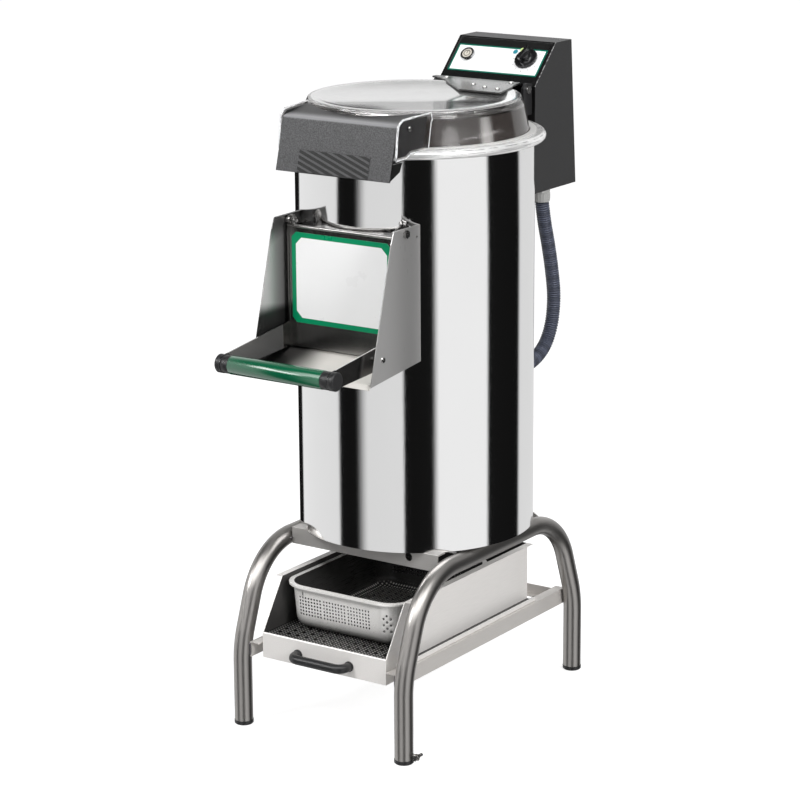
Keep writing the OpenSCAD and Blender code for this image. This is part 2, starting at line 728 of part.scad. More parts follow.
module lid_gasket() color(black) seated() translate([0, drum_axis_y, 0]) rotate_extrude($fn = 128)
    polygon([
        [lid_r + 0.1, rim_z + 1], [rim_lip_r - 0.5, rim_z + 1], [rim_lip_r - 0.5, rim_top_z + seat],
        [rim_lip_r + 8, rim_top_z + seat], [rim_lip_r + 8, rim_top_z + 2.3], [lid_r - 0.6, rim_top_z + 2.3]
    ]);

// Outline of the cover's outer face from its foot, round its front edge and back up to the lid
function cover_arc(inner) = [
    for (a = [cover_lean:15:90 - cover_top_slope])
        let (r = cover_round - inner) [
            cover_edge_y + cover_round * 1.1 - r * cos(a), cover_edge_z - cover_round + r * sin(a)
        ]
];
cover_outer = concat(
    [[cover_foot_y, cover_foot_z]], cover_arc(0),
    [[cover_edge_y + 100, cover_edge_z + 100 * tan(cover_top_slope)]]
);
cover_inner = concat(
    [[cover_edge_y + 100, cover_edge_z + 100 * tan(cover_top_slope) - cover_t]],
    [for (i = [len(cover_arc(cover_t)) - 1:-1:0]) cover_arc(cover_t)[i]],
    [[cover_foot_y + cover_t, cover_foot_z]]
);
grip_half = 75;
grip_z = cover_foot_z + 2;
grip_h = 38;
module cover_ribs() intersection() {
    translate([0, cover_foot_y, cover_foot_z]) rotate([-cover_lean, 0, 0])
        translate([-grip_half, -1.6, 2]) cube([2 * grip_half, 3, grip_h]);
    for (i = [0:rib_count - 1])
        translate([(i - (rib_count - 1) / 2) * 2 * grip_half / rib_count, cover_foot_y, cover_foot_z + 21])
            rotate([-cover_lean, 0, 0]) rotate([0, 56, 0]) translate([-3, -3, -60]) cube([5, 6, 120]);
}
module lid_cover() color(dark) seated() {
    difference() {
        union() {
            across(-cover_half, cover_half) polygon(concat(cover_outer, cover_inner));
            both_sides() across(cover_half - cover_t, cover_half) polygon([
                [cover_foot_y + 0.5, cover_foot_z + 1], [cover_foot_y + 32, cover_foot_z + 14],
                [cover_foot_y + 40, cover_foot_z + 30], [cover_foot_y + 10, cover_foot_z + 30]
            ]);
            both_sides() across(cover_half - cover_t, cover_half) polygon([
                [ear_screw_y - 9, ear_screw_z - 9], [ear_screw_y + 8, ear_screw_z - 9],
                [ear_screw_y + 8, ear_screw_z + 2.5], [ear_screw_y - 3, ear_screw_z + 2.5],
                [ear_screw_y - 9, ear_screw_z + 0.8]
            ]);
        }
        translate([0, drum_axis_y, shoulder_z - 20]) cylinder(h = 60, r = lid_top_r + 6.5, $fn = 128);
        translate([0, drum_axis_y, lid_top_z - 8]) cylinder(h = 60, r = lid_top_r + 1, $fn = 128);
        for (s = [-1, 1]) translate([s * (cover_half + 16), cover_edge_y + 46, lid_top_z - 40])
            rotate([0, 0, s * -17]) translate([-20, 0, 0]) cube([40, 120, 80]);
        both_sides() bar_x(cover_half - 10, cover_half + 20, 2.6, ear_screw_y, ear_screw_z);
    }
    cover_ribs();
}

leaf_screws = [[66, 147], [98, 139], [30, 165], [-60, 214], [80, 214]];
module lid_screws() color(steel) seated() {
    both_sides() translate([cover_half + 10.5, ear_screw_y, ear_screw_z]) rotate([0, -90, 0])
        pan_head(5, 14);
    for (s = leaf_screws) translate([s[0], s[1], lid_top_z + leaf_t]) rotate([180, 0, 0])
        pan_head(5, leaf_t + 1);
}

// Plate on the lid, with the knuckle that turns on the hinge pin
module hinge_leaf() color(steel) seated() difference() {
    union() {
        translate([0, 0, lid_top_z]) linear_extrude(leaf_t) polygon([
            [-hinge_half + 1, hinge_y - 26], [-hinge_half + 1, hinge_y - 14], [hinge_half - 1, hinge_y - 14],
            [hinge_half + 5, 196], [108, 173], [126, 102], [40, 102], [-58, 200]
        ]);
        across(-hinge_half + 1, hinge_half - 1) {
            polygon([
                [hinge_y - 20, lid_top_z], [hinge_y - 1, hinge_z + 3], [hinge_y + 3, hinge_z + 6.5],
                [hinge_y - 14, lid_top_z + leaf_t], [hinge_y - 20, lid_top_z + leaf_t]
            ]);
            translate([hinge_y, hinge_z]) circle(knuckle_r);
        }
    }
    bar_x(-hinge_half - over, hinge_half + over, hinge_pin_d / 2 + fit, hinge_y, hinge_z);
    for (s = leaf_screws) bar_z(lid_top_z - over, lid_top_z + leaf_t + over, 2.5, s[0], s[1]);
}

module hinge_pin() color(steel) seated() {
    bar_x(-hinge_half - hinge_ear_t, hinge_half + hinge_ear_t, hinge_pin_d / 2, hinge_y, hinge_z);
    both_sides() bar_x(hinge_half + hinge_ear_t, hinge_half + hinge_ear_t + 4, hinge_pin_d / 2 + 3, hinge_y, hinge_z);
}

module hinge_ears() color(black) seated() both_sides() {
    difference() {
        across(hinge_half, hinge_half + hinge_ear_t) {
            polygon([
                [box_y, rim_top_z + 3], [box_y, hinge_z + 9], [hinge_y - 4, hinge_z + 12],
                [hinge_y - 14, hinge_z + 3], [hinge_y - 14, hinge_z - 8], [hinge_y - 6, rim_top_z + 3]
            ]);
            translate([hinge_y, hinge_z]) circle(12);
        }
        bar_x(hinge_half - over, hinge_half + hinge_ear_t + over, hinge_pin_d / 2, hinge_y, hinge_z);
    }
    translate([hinge_half - 22, box_y - 3, rim_top_z + 4]) cube([22, 3, hinge_z - rim_top_z - 12]);
}

// ---- control box ----

module box_bracket() color(black) seated() difference() {
    union() {
        both_sides() translate([bracket_half, drum_axis_y, bracket_z])
            cube([3, box_y - drum_axis_y, bracket_h]);
        translate([-bracket_half - 3, box_y - 3, bracket_z]) cube([2 * bracket_half + 6, 3, bracket_h]);
        both_sides() translate([bracket_half - 20, drum_axis_y, bracket_z]) intersection() {
            cube([20, box_y - drum_axis_y, bracket_h]);
            translate([-bracket_half + 20, 0, 0]) cylinder(h = bracket_h, r = drum_r + 3);
        }
    }
    drum_body(bracket_z - over, bracket_z + bracket_h + over);
}

module box_outer() across(-box_half, box_half) polygon(box_outline);
module box_shell() color(dark) seated() difference() {
    box_outer();
    across(-box_half + box_t, box_half - box_t) polygon(inset(box_outline, box_t));
    translate([-box_half + box_t, 0, 0]) across(0, 2 * (box_half - box_t)) polygon([
        [box_outline[1][0] - 12, box_z + box_t], [box_outline[1][0] + 20, box_z + box_t],
        [box_outline[2][0] + 20, box_top - box_t], [box_outline[2][0] - 12, box_top - box_t]
    ]);
    on_panel(0, panel_len / 2 + 1) translate([-box_half + 6, -panel_len / 2 + 8, -label_inset])
        cube([2 * box_half - 12, panel_len - 13, 4]);
    on_panel(button_x, panel_mid) translate([0, 0, -10]) cylinder(h = 20, r = button_d / 2 + 1.2);
    on_panel(knob_x, panel_mid) translate([0, 0, -10]) cylinder(h = 20, r = timer_shaft_d / 2 + 2);
    bar_z(box_z - over, box_z + box_t + over, gland_r - 4.5, gland_x, gland_y);
    bar_z(box_z - over, box_z + box_t + over, gland_r - 4.5, mains_x, gland_y);
}

back_edge = unit(box_outline[2] - box_outline[1]);
back_in = left_of(back_edge);
module box_rear_cover() color(dark) seated() difference() {
    across(-box_half + box_t + 0.2, box_half - box_t - 0.2) polygon([
        box_outline[1] + 2.4 * back_edge + 1.8 * back_in, box_outline[1] + 2.4 * back_edge + 0.3 * back_in,
        box_outline[2] - 2.4 * back_edge + 0.3 * back_in, box_outline[2] - 2.4 * back_edge + 1.8 * back_in
    ]);
    at_back_screws() translate([0, 0, -4]) cylinder(h = 8, r = 2);
}
module at_back_screws() for (x = [-1, 1], s = [14, box_top - box_z - 16]) {
    p = box_outline[1] + s * back_edge;
    translate([x * (box_half - 12), p[0], p[1]]) rotate([-90 + atan(19.3 / (box_top - box_z)), 0, 0])
        children();
}
module box_screws() color(steel) seated() at_back_screws() {
    translate([0, 0, -8]) cylinder(h = 8, r = 2);
    translate([0, 0, -0.3]) cylinder(h = 1, r1 = 3.6, r2 = 2.6);
}

module control_label() color("white") seated() on_panel(0, 51.5) translate([0, 0, -label_inset])
    linear_extrude(label_t) difference() {
        square([2 * box_half - 18, panel_len - 24.5], center = true);
        translate([button_x, panel_mid - 51.5]) circle(button_d / 2 + 1.2);
        translate([knob_x, panel_mid - 51.5]) circle(timer_shaft_d / 2 + 2);
    }

// Bezel in front of the panel, barrel and contact block behind it
module button_housing() color("silver") seated() on_panel(button_x, panel_mid) difference() {
    union() {
        translate([0, 0, label_t - label_inset]) cylinder(h = 5, r1 = bezel_d / 2, r2 = bezel_d / 2 - 2);
        translate([0, 0, -14]) cylinder(h = 16, r = button_d / 2 + 1);
        translate([-15, -15, -46]) cube([30, 30, 32]);
    }
    translate([0, 0, -14 - button_travel - over]) cylinder(h = 40, r = button_d / 2 + 0.1);
}

module start_button() color("whitesmoke") seated() on_panel(button_x, panel_mid) {
    translate([0, 0, -13]) cylinder(h = 16, r = button_d / 2);
    translate([0, 0, 3]) cylinder(h = 1.8, r1 = button_d / 2, r2 = button_d / 2 - 1.8);
}

module timer_knob() color(black) seated() on_panel(knob_x, panel_mid) difference() {
    union() {
        translate([0, 0, label_t - label_inset + seat]) cylinder(h = 5, r = knob_d / 2);
        translate([0, 0, 5]) cylinder(h = knob_h - 6, r1 = knob_d / 2 - 3, r2 = knob_d / 2 - 5);
        translate([-3.5, -knob_d / 2 + 5, 5]) cube([7, knob_d - 10, knob_h - 4]);
        translate([0, 0, -22]) cylinder(h = 24, r = timer_shaft_d / 2);
    }
    translate([-1, knob_d / 2 - 14, knob_h + 0.2]) cube([2, 8, 3]);
    for (a = [0:20:340]) rotate([0, 0, a]) translate([knob_d / 2 + 1.2, 0, -over])
        cylinder(h = 8, r = 2.2);
}

module timer_body() color(black) seated() on_panel(knob_x, panel_mid) difference() {
    translate([-22, -20, -48]) cube([44, 40, 48 - 2.8 - box_t + 1]);
    translate([0, 0, -24]) cylinder(h = 30, r = timer_shaft_d / 2 + fit);
}

module contactor() color([0.25, 0.25, 0.27]) seated() difference() {
    translate([-24, box_y + box_t, box_z + 60]) cube([48, 84, 76]);
    translate([-15, box_y + 40, box_z + 50]) cube([30, 60, 14]);
    translate([-15, box_y + 40, box_z + 132]) cube([30, 60, 14]);
}

// A gland of body, lock nut and clamping nut, hanging under the control box
module gland(hole_r) difference() {
    union() {
        translate([0, 0, -8]) cylinder(h = 8, r = gland_r, $fn = 6);
        translate([0, 0, -26]) cylinder(h = 18.5, r1 = gland_r - 3, r2 = gland_r - 1.5);
        translate([0, 0, -1]) cylinder(h = box_t + 9, r = gland_r - 4.5 - fit);
        translate([0, 0, box_t]) cylinder(h = 5, r = gland_r - 1, $fn = 6);
    }
    translate([0, 0, -30]) cylinder(h = 60, r = hole_r);
}
module cable_glands() color("lightgray") seated() {
    translate([gland_x, gland_y, box_z]) difference() {
        gland(8);
        translate([0, 0, -30]) cylinder(h = 8, r = conduit_d / 2 - 1);
    }
    translate([mains_x, gland_y, box_z]) gland(mains_hole_d / 2);
    difference() {
        union() {
            bar_y(drum_back_y(entry_x) - 8, drum_back_y(entry_x) + 8, conduit_d / 2 + 4, entry_x, entry_z);
            bar_y(drum_back_y(entry_x) + 8, drum_back_y(entry_x) + 14, conduit_d / 2 + 2, entry_x, entry_z);
        }
        drum_body(entry_z - 60, entry_z + 60);
        bar_y(drum_axis_y, drum_axis_y + 2 * drum_r, conduit_d / 2 - 4, entry_x, entry_z);
        bar_y(drum_back_y(entry_x) + 11, drum_axis_y + 2 * drum_r, conduit_d / 2 + 0.3, entry_x, entry_z);
    }
}

// A smooth curve through the points of a route, with a few rings between each two points
function along_curve(p, i, t) = let (
    a = p[max(i - 1, 0)], b = p[i], c = p[i + 1], d = p[min(i + 2, len(p) - 1)]
) 0.5 * (2 * b + (c - a) * t + (2 * a - 5 * b + 4 * c - d) * t * t + (3 * b - a - 3 * c + d) * t * t * t);
function smooth_route(p, steps) = concat(
    [for (i = [0:len(p) - 2], s = [0:steps - 1]) along_curve(p, i, s / steps)], [p[len(p) - 1]]
);
module swept_tube(p, r, sides) {
    n = len(p);
    function heading(i) = unit(p[min(i + 1, n - 1)] - p[max(i - 1, 0)]);
    points = [
        for (i = [0:n - 1]) let (h = heading(i), u = unit(cross(h, [1, 0, 0])), v = cross(h, u))
            for (k = [0:sides - 1]) p[i] + r * (cos(360 * k / sides) * u + sin(360 * k / sides) * v)
    ];
    faces = concat(
        [[for (k = [0:sides - 1]) k]],
        [for (i = [0:n - 2], k = [0:sides - 1]) let (a = i * sides + k, b = i * sides + (k + 1) % sides)
            [a, a + sides, b + sides, b]],
        [[for (k = [sides - 1:-1:0]) (n - 1) * sides + k]]
    );
    polyhedron(points, faces, convexity = 6);
}
module conduit() color([0.20, 0.22, 0.27]) seated() swept_tube(smooth_route(conduit_route, 2), conduit_d / 2, 12);

// ---- drive ----

module around_housing() for (a = [45:90:315]) translate([0, drum_axis_y, 0]) rotate([0, 0, a])
    translate([housing_r + 10, 0, 0]) children();

module bearing_housing() color([0.45, 0.46, 0.48]) seated() difference() {
    union() {
        drum_body(chamber_z - housing_h, chamber_z, housing_r);
        drum_body(chamber_z - 8, chamber_z, housing_r + 18);
        for (a = [0:45:315]) translate([0, drum_axis_y, 0]) rotate([0, 0, a]) rotate([90, 0, 0])
            linear_extrude(5, center = true) polygon([
                [housing_r - 2, chamber_z - 8], [housing_r - 2, chamber_z - 60], [housing_r + 12, chamber_z - 8]
            ]);
    }
    drum_body(chamber_z - housing_h - over, chamber_z + over, shaft_d / 2 + 4);
    drum_body(chamber_z - housing_h - over, chamber_z - housing_h + bearing_h, housing_r - 12);
    drum_body(chamber_z - bearing_h, chamber_z + over, housing_r - 12);
    around_housing() bar_z(chamber_z - 9, chamber_z + over, 3 + fit);
}

module bearing_ring(z) difference() {
    drum_body(z, z + bearing_h - 1, housing_r - 12 - 0.02);
    drum_body(z - over, z + bearing_h + over, shaft_d / 2 + 0.05);
    translate([0, drum_axis_y, z + bearing_h - 1]) difference() {
        translate([0, 0, -1.5]) cylinder(h = 5, r = shaft_d / 2 + 9.5);
        translate([0, 0, -5]) cylinder(h = 20, r = shaft_d / 2 + 4);
    }
}
module shaft_bearings() color(steel) seated() {
    bearing_ring(chamber_z - housing_h);
    bearing_ring(chamber_z - bearing_h);
}

module shaft_seal() color(black) seated() difference() {
    union() {
        drum_body(chamber_z, chamber_top + 4, housing_r - 10.2);
        drum_body(chamber_top, chamber_top + 4, housing_r - 4);
    }
    drum_body(chamber_z - over, chamber_top + 10, shaft_d / 2 + 0.1);
}

module drive_shaft() color(steel) seated() {
    drum_body(shaft_end, disc_z - 12, shaft_d / 2);
    drum_body(disc_z - 12, disc_z + disc_t + 8, shaft_d / 2 - 3);
}

// Disc with three raised waves that throw the potatoes against the lining
module abrasive_disc() color([0.33, 0.31, 0.28]) seated() difference() {
    union() {
        drum_body(disc_z, disc_z + disc_t, disc_r);
        translate([0, drum_axis_y, disc_z - 12]) cylinder(h = 12.5, r = hub_r);
        translate([0, drum_axis_y, disc_z + disc_t]) cylinder(h = 9, r1 = hub_r, r2 = hub_r - 12);
        for (a = [0:120:240]) translate([0, drum_axis_y, disc_z + disc_t - 1]) rotate([0, 0, a])
            translate([hub_r + 6, 0, 0]) rotate([90, 0, 90]) linear_extrude(disc_r - hub_r - 20)
                polygon([[-34, 0], [34, 0], [16, 7], [6, 9], [-6, 9], [-16, 7]]);
    }
    drum_body(disc_z - 20, disc_z + disc_t + 20, shaft_d / 2 - 3 + 0.02);
}

// A pulley as a profile: hub, web, flanges and a groove as wide as the belt
module pulley(d, groove, hub, bore) difference() {
    union() {
        cylinder(h = pulley_h, r = d / 2 - groove);
        for (z = [0, pulley_h - 3]) translate([0, 0, z]) cylinder(h = 3, r = d / 2 + 1);
        translate([0, 0, 0]) cylinder(h = pulley_h + 8, r = hub);
    }
    translate([0, 0, -over]) cylinder(h = pulley_h + 20, r = bore);
}

module driven_pulley() color([0.45, 0.46, 0.48]) seated() translate([0, drum_axis_y, pulley_z]) difference() {
    pulley(driven_d, belt_t, 30, shaft_d / 2 + 0.02);
    difference() {
        translate([0, 0, -over]) cylinder(h = 7 + over, r = driven_d / 2 - 18);
        translate([0, 0, -2 * over]) cylinder(h = 20, r = 30);
    }
    for (a = [0:60:300]) rotate([0, 0, a]) translate([50, 0, -over]) cylinder(h = pulley_h + 20, r = 14);
}

module motor_pulley() color([0.45, 0.46, 0.48]) seated() translate([0, motor_y, pulley_z]) {
    difference() {
        pulley(motor_pulley_d, belt_t, 16, 9.52);
        translate([0, 0, pulley_h]) cylinder(h = 20, r = 9);
    }
    translate([0, 0, -3]) cylinder(h = motor_plate_z - pulley_z + 3 + 20, r = 9.5);
}

// Loop round both pulleys, extra outside the groove: two arcs joined by the two tangents between them
function belt_loop(extra) = let (
    big = driven_d / 2 - belt_t + seat + extra,
    small = motor_pulley_d / 2 - belt_t + seat + extra,
    lean = acos((big - small) / shaft_spacing)
) concat(
    [for (i = [0:48]) let (a = lean + i * (360 - 2 * lean) / 48) big * [sin(a), cos(a)]],
    [for (i = [0:24]) let (a = -lean + i * 2 * lean / 24) [0, shaft_spacing] + small * [sin(a), cos(a)]]
);
module drive_belt() color(black) seated() translate([0, drum_axis_y, pulley_z + (pulley_h - belt_w) / 2])
    linear_extrude(belt_w) difference() {
        polygon(belt_loop(belt_t));
        polygon(belt_loop(0));
    }

post_places = [[-78, -30], [78, -30], [-86, 138], [86, 138]];
module motor_plate() color(steel) seated() {
    difference() {
        translate([0, drum_axis_y + 62, motor_plate_z]) linear_extrude(motor_plate_t)
            rounded(motor_plate_w, motor_plate_len, 16);
        drum_body(motor_plate_z - over, motor_plate_z + 10, housing_r);
        bar_z(motor_plate_z - over, motor_plate_z + 10, 22, 0, motor_y);
        translate([0, drum_axis_y, motor_plate_z - over]) difference() {
            cylinder(h = 10, r = 2 * drum_r);
            translate([0, 0, -over]) cylinder(h = 20, r = drum_in - 15);
        }
    }
    for (p = post_places) bar_z(motor_plate_z + motor_plate_t, chamber_z, post_r, p[0], drum_axis_y + p[1]);
}

module motor() color([0.28, 0.30, 0.34]) seated() translate([0, motor_y, motor_plate_z + motor_plate_t]) difference() {
    union() {
        cylinder(h = 12, r = motor_d / 2 - 4);
        translate([0, 0, 12]) cylinder(h = motor_h - 24, r = motor_d / 2 - 7);
        for (a = [0:15:345]) rotate([0, 0, a]) translate([motor_d / 2 - 9, -1.5, 16]) cube([9, 3, motor_h - 36]);
        translate([0, 0, motor_h - 12]) cylinder(h = 12, r1 = motor_d / 2 - 4, r2 = motor_d / 2 - 16);
    }
    translate([0, 0, -over]) cylinder(h = 40, r = 9.55);
    translate([0, -shaft_spacing, -over]) cylinder(h = motor_h + 10, r = housing_r + 20);
}

// ---- drawer ----

drawer_side = [
    [drawer_y, drawer_z], [drawer_back, drawer_z], [drawer_back, drawer_top], [wall_start, drawer_top],
    [drawer_y, drawer_z + strip_h]
];
module drawer_box() color(steel) seated() {
    drawer_sheet();
    floor_ledges();
}
module drawer_sheet() difference() {
    union() {
        across(-drawer_half, drawer_half) polygon(drawer_side);
        both_sides() {
            translate([drawer_half - over, wall_start, drawer_top - drawer_t])
                cube([12 + over, drawer_back - wall_start, drawer_t]);
            translate([drawer_half - over, wall_start - 17, runner_z])
                cube([runner_x - drawer_half + over, drawer_back - wall_start + 17, drawer_t]);
            translate([runner_x - drawer_t, wall_start - 17, runner_z])
                cube([drawer_t, drawer_back - wall_start + 17, 9]);
        }
    }
    translate([-drawer_half + drawer_t, drawer_y + drawer_t, drawer_z + drawer_t])
        cube([2 * (drawer_half - drawer_t), drawer_len - 2 * drawer_t, drawer_h + 10]);
    bar_z(drawer_z - over, drawer_z + 5, 20, 0, 120);
}
// Ledges along the drawer's sides that carry the perforated floor
module floor_ledges() both_sides() translate([drawer_half - drawer_t - 6, drawer_y + 10, filter_z - 3])
    cube([6 + over / 2, drawer_len - 20, 3]);

module filter_floor() color(steel) seated() {
    translate([0, (drawer_y + drawer_back) / 2, filter_z]) linear_extrude(filter_t) difference() {
        square([2 * (drawer_half - drawer_t) - 0.4, drawer_len - 2 * drawer_t - 0.4], center = true);
        for (i = [-6:6], j = [-11:11]) translate([i * 19, j * 19]) circle(3.5, $fn = 24);
    }
}

module drawer_handle() color(black) seated() translate([0, drawer_y, bow_z]) {
    reach = bow_reach;
    bar_x(-bow_half + bow_round, bow_half - bow_round, bow_d / 2, -reach, 0);
    both_sides() {
        translate([bow_half - bow_round, -reach + bow_round, 0]) rotate([0, 0, -90])
            rotate_extrude(angle = 90) translate([bow_round, 0]) circle(bow_d / 2);
        bar_y(-reach + bow_round, 0, bow_d / 2, bow_half, 0);
        translate([bow_half, -3, 0]) rotate([-90, 0, 0]) cylinder(h = 3, r = bow_d / 2 + 1);
    }
}

// Section of the pan's wall, from its bottom plate round its bottom edge to its flange
function pan_edge(r, z0) = [
    for (a = [-90:15:0]) [pan_foot_r + r * cos(a), pan_fillet + z0 + r * sin(a)]
];
pan_wall_r = pan_corner - pan_flange;
pan_foot_r = pan_wall_r - pan_slope - pan_fillet;
// Fields of holes along the front and the rear wall: place, columns, rows, pitch and radius
pan_fields = [[-69, 8, 6, 6.4, 1.9], [-16, 8, 6, 6.4, 1.9], [37, 8, 6, 6.4, 1.9], [97, 3, 3, 12, 2.2]];
module gn_pan() color(steel) seated() {
    cx = pan_half - pan_corner;
    cy = pan_len / 2 - pan_corner;
    translate([0, pan_y + pan_len / 2, pan_z]) {
        difference() {
            run_round(cx, cy) polygon(concat(
                pan_edge(pan_fillet, 0),
                [[pan_wall_r, pan_h - pan_t], [pan_corner - pan_t, pan_h - pan_t],
                 [pan_corner - pan_t, pan_h - 4], [pan_corner, pan_h - 4], [pan_corner, pan_h],
                 [pan_wall_r - pan_t, pan_h]],
                [for (i = [6:-1:0]) pan_edge(pan_fillet - pan_t, 0)[i]]
            ));
            for (f = pan_fields, i = [0:f[1] - 1], j = [0:f[2] - 1])
                bar_y(-pan_len, pan_len, f[4], f[0] + (i - (f[1] - 1) / 2) * f[3] / (f[1] > 3 ? 1 : 2),
                      pan_h - 55 + j * f[3] + (f[1] > 3 ? 0 : (i % 2) * f[3] / 2), $fn = 24);
        }
        linear_extrude(pan_t) difference() {
            rounded(2 * (cx + pan_foot_r) + 1, 2 * (cy + pan_foot_r) + 1, pan_foot_r + 0.5);
            for (i = [-6:6], j = [-8:8]) translate([i * 14.5, j * 15]) circle(2.5, $fn = 24);
        }
    }
}

left_frame_tube();
right_frame_tube();
foot_caps();
front_cross_plate();
rear_cross_plate();
drawer_rails();
bonding_lug();
bonding_bolt();
drum_bolts();
base_plate();
drum_shell();
drum_rim();
chamber_floor();
abrasive_liner();
waste_pipe();
water_inlet();
chute_neck();
chute_cheeks();
chute_floor();
chute_screws();
door_pivots();
hinge_ears();
hinge_pin();
box_bracket();
box_shell();
box_rear_cover();
box_screws();
control_label();
button_housing();
timer_body();
contactor();
cable_glands();
conduit();
bearing_housing();
shaft_bearings();
shaft_seal();
motor_plate();
motor();
drive_belt();
lid_dome();
lid_gasket();
lid_cover();
lid_screws();
hinge_leaf();
door_panel();
door_label();
door_gasket();
handle_tube();
handle_sleeve();
handle_caps();
drawer_box();
filter_floor();
drawer_handle();
gn_pan();
start_button();
timer_knob();
abrasive_disc();
drive_shaft();
driven_pulley();
motor_pulley();
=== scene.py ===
"""Looks of a floor-standing potato peeler: finishes, smooth pieces and the studio.

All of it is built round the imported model, whose own pieces keep their places.
"""

import logging
import math
import random
from collections.abc import Callable, Sequence
from dataclasses import dataclass, field
from enum import Enum

import bmesh
import bpy
from mathutils import Matrix, Vector


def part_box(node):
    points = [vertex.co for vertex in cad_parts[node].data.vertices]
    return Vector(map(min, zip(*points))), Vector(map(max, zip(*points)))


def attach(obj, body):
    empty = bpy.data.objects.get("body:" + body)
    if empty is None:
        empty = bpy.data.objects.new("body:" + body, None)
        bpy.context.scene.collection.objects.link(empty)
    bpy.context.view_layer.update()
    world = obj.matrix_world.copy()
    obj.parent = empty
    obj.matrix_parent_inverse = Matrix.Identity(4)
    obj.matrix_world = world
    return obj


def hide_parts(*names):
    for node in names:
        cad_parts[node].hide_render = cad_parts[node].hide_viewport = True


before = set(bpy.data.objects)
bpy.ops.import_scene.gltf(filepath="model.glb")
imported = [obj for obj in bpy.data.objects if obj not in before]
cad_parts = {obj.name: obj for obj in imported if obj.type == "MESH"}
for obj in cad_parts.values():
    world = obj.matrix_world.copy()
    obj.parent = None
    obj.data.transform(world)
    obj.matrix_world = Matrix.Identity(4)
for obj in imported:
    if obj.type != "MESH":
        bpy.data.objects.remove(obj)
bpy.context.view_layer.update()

LOG = logging.getLogger("peeler")
MM = 0.001
SEAT_SHIFT = 6.75          # the drawing's middle of the stand lies this far in front of the origin, mm
SOFT_STEPS = 2             # steps in a rounded edge
SOFT_ANGLE = 32.0          # edges over this angle in degrees are rounded

Pair = tuple[float, float]
Triple = tuple[float, float, float]
Colour = Triple
Number = float | int
Line = Sequence[Pair]


# ---------------------------------------------------------------- shader writing


class Sock:
    """An output socket that takes part in sums; each operation adds its Math node."""

    def __init__(self, graph: "Graph", socket: bpy.types.NodeSocket) -> None:
        """Wraps a socket of a graph."""
        self.graph = graph
        self.socket = socket

    def _do(self, operation: str, *others: "Sock | Number") -> "Sock":
        """Adds one Math node with this socket as its first value."""
        return self.graph.math(operation, self, *others)

    def __add__(self, other: "Sock | Number") -> "Sock":
        """Sum."""
        return self._do("ADD", other)

    __radd__ = __add__

    def __sub__(self, other: "Sock | Number") -> "Sock":
        """Difference."""
        return self._do("SUBTRACT", other)

    def __rsub__(self, other: Number) -> "Sock":
        """Difference with a number in front."""
        return self.graph.math("SUBTRACT", other, self)

    def __mul__(self, other: "Sock | Number") -> "Sock":
        """Product."""
        return self._do("MULTIPLY", other)

    __rmul__ = __mul__

    def __truediv__(self, other: "Sock | Number") -> "Sock":
        """Quotient."""
        return self._do("DIVIDE", other)

    def __pow__(self, other: "Sock | Number") -> "Sock":
        """Power."""
        return self._do("POWER", other)

    def __lt__(self, other: "Sock | Number") -> "Sock":
        """One where this is less."""
        return self._do("LESS_THAN", other)

    def __gt__(self, other: "Sock | Number") -> "Sock":
        """One where this is more."""
        return self._do("GREATER_THAN", other)

    def __abs__(self) -> "Sock":
        """Size without sign."""
        return self._do("ABSOLUTE")

    def least(self, other: "Sock | Number") -> "Sock":
        """The smaller of two values."""
        return self._do("MINIMUM", other)

    def most(self, other: "Sock | Number") -> "Sock":
        """The larger of two values."""
        return self._do("MAXIMUM", other)

    def other(self, out: str | int) -> "Sock":
        """Another output of the same node."""
        return Sock(self.graph, self.socket.node.outputs[out])

    def step(self, low: float, high: float) -> "Sock":
        """A soft rise from 0 to 1 between two values."""
        values = {"Value": self, "From Min": low, "From Max": high}
        return self.graph.node("ShaderNodeMapRange", {"interpolation_type": "SMOOTHSTEP"}, values)


class Place(Enum):
    """Coordinates that a finish follows."""

    OBJECT = "Object"
    LENGTHS = "UV"
    NORMAL = "Normal"
    DIRECTION = "Generated"


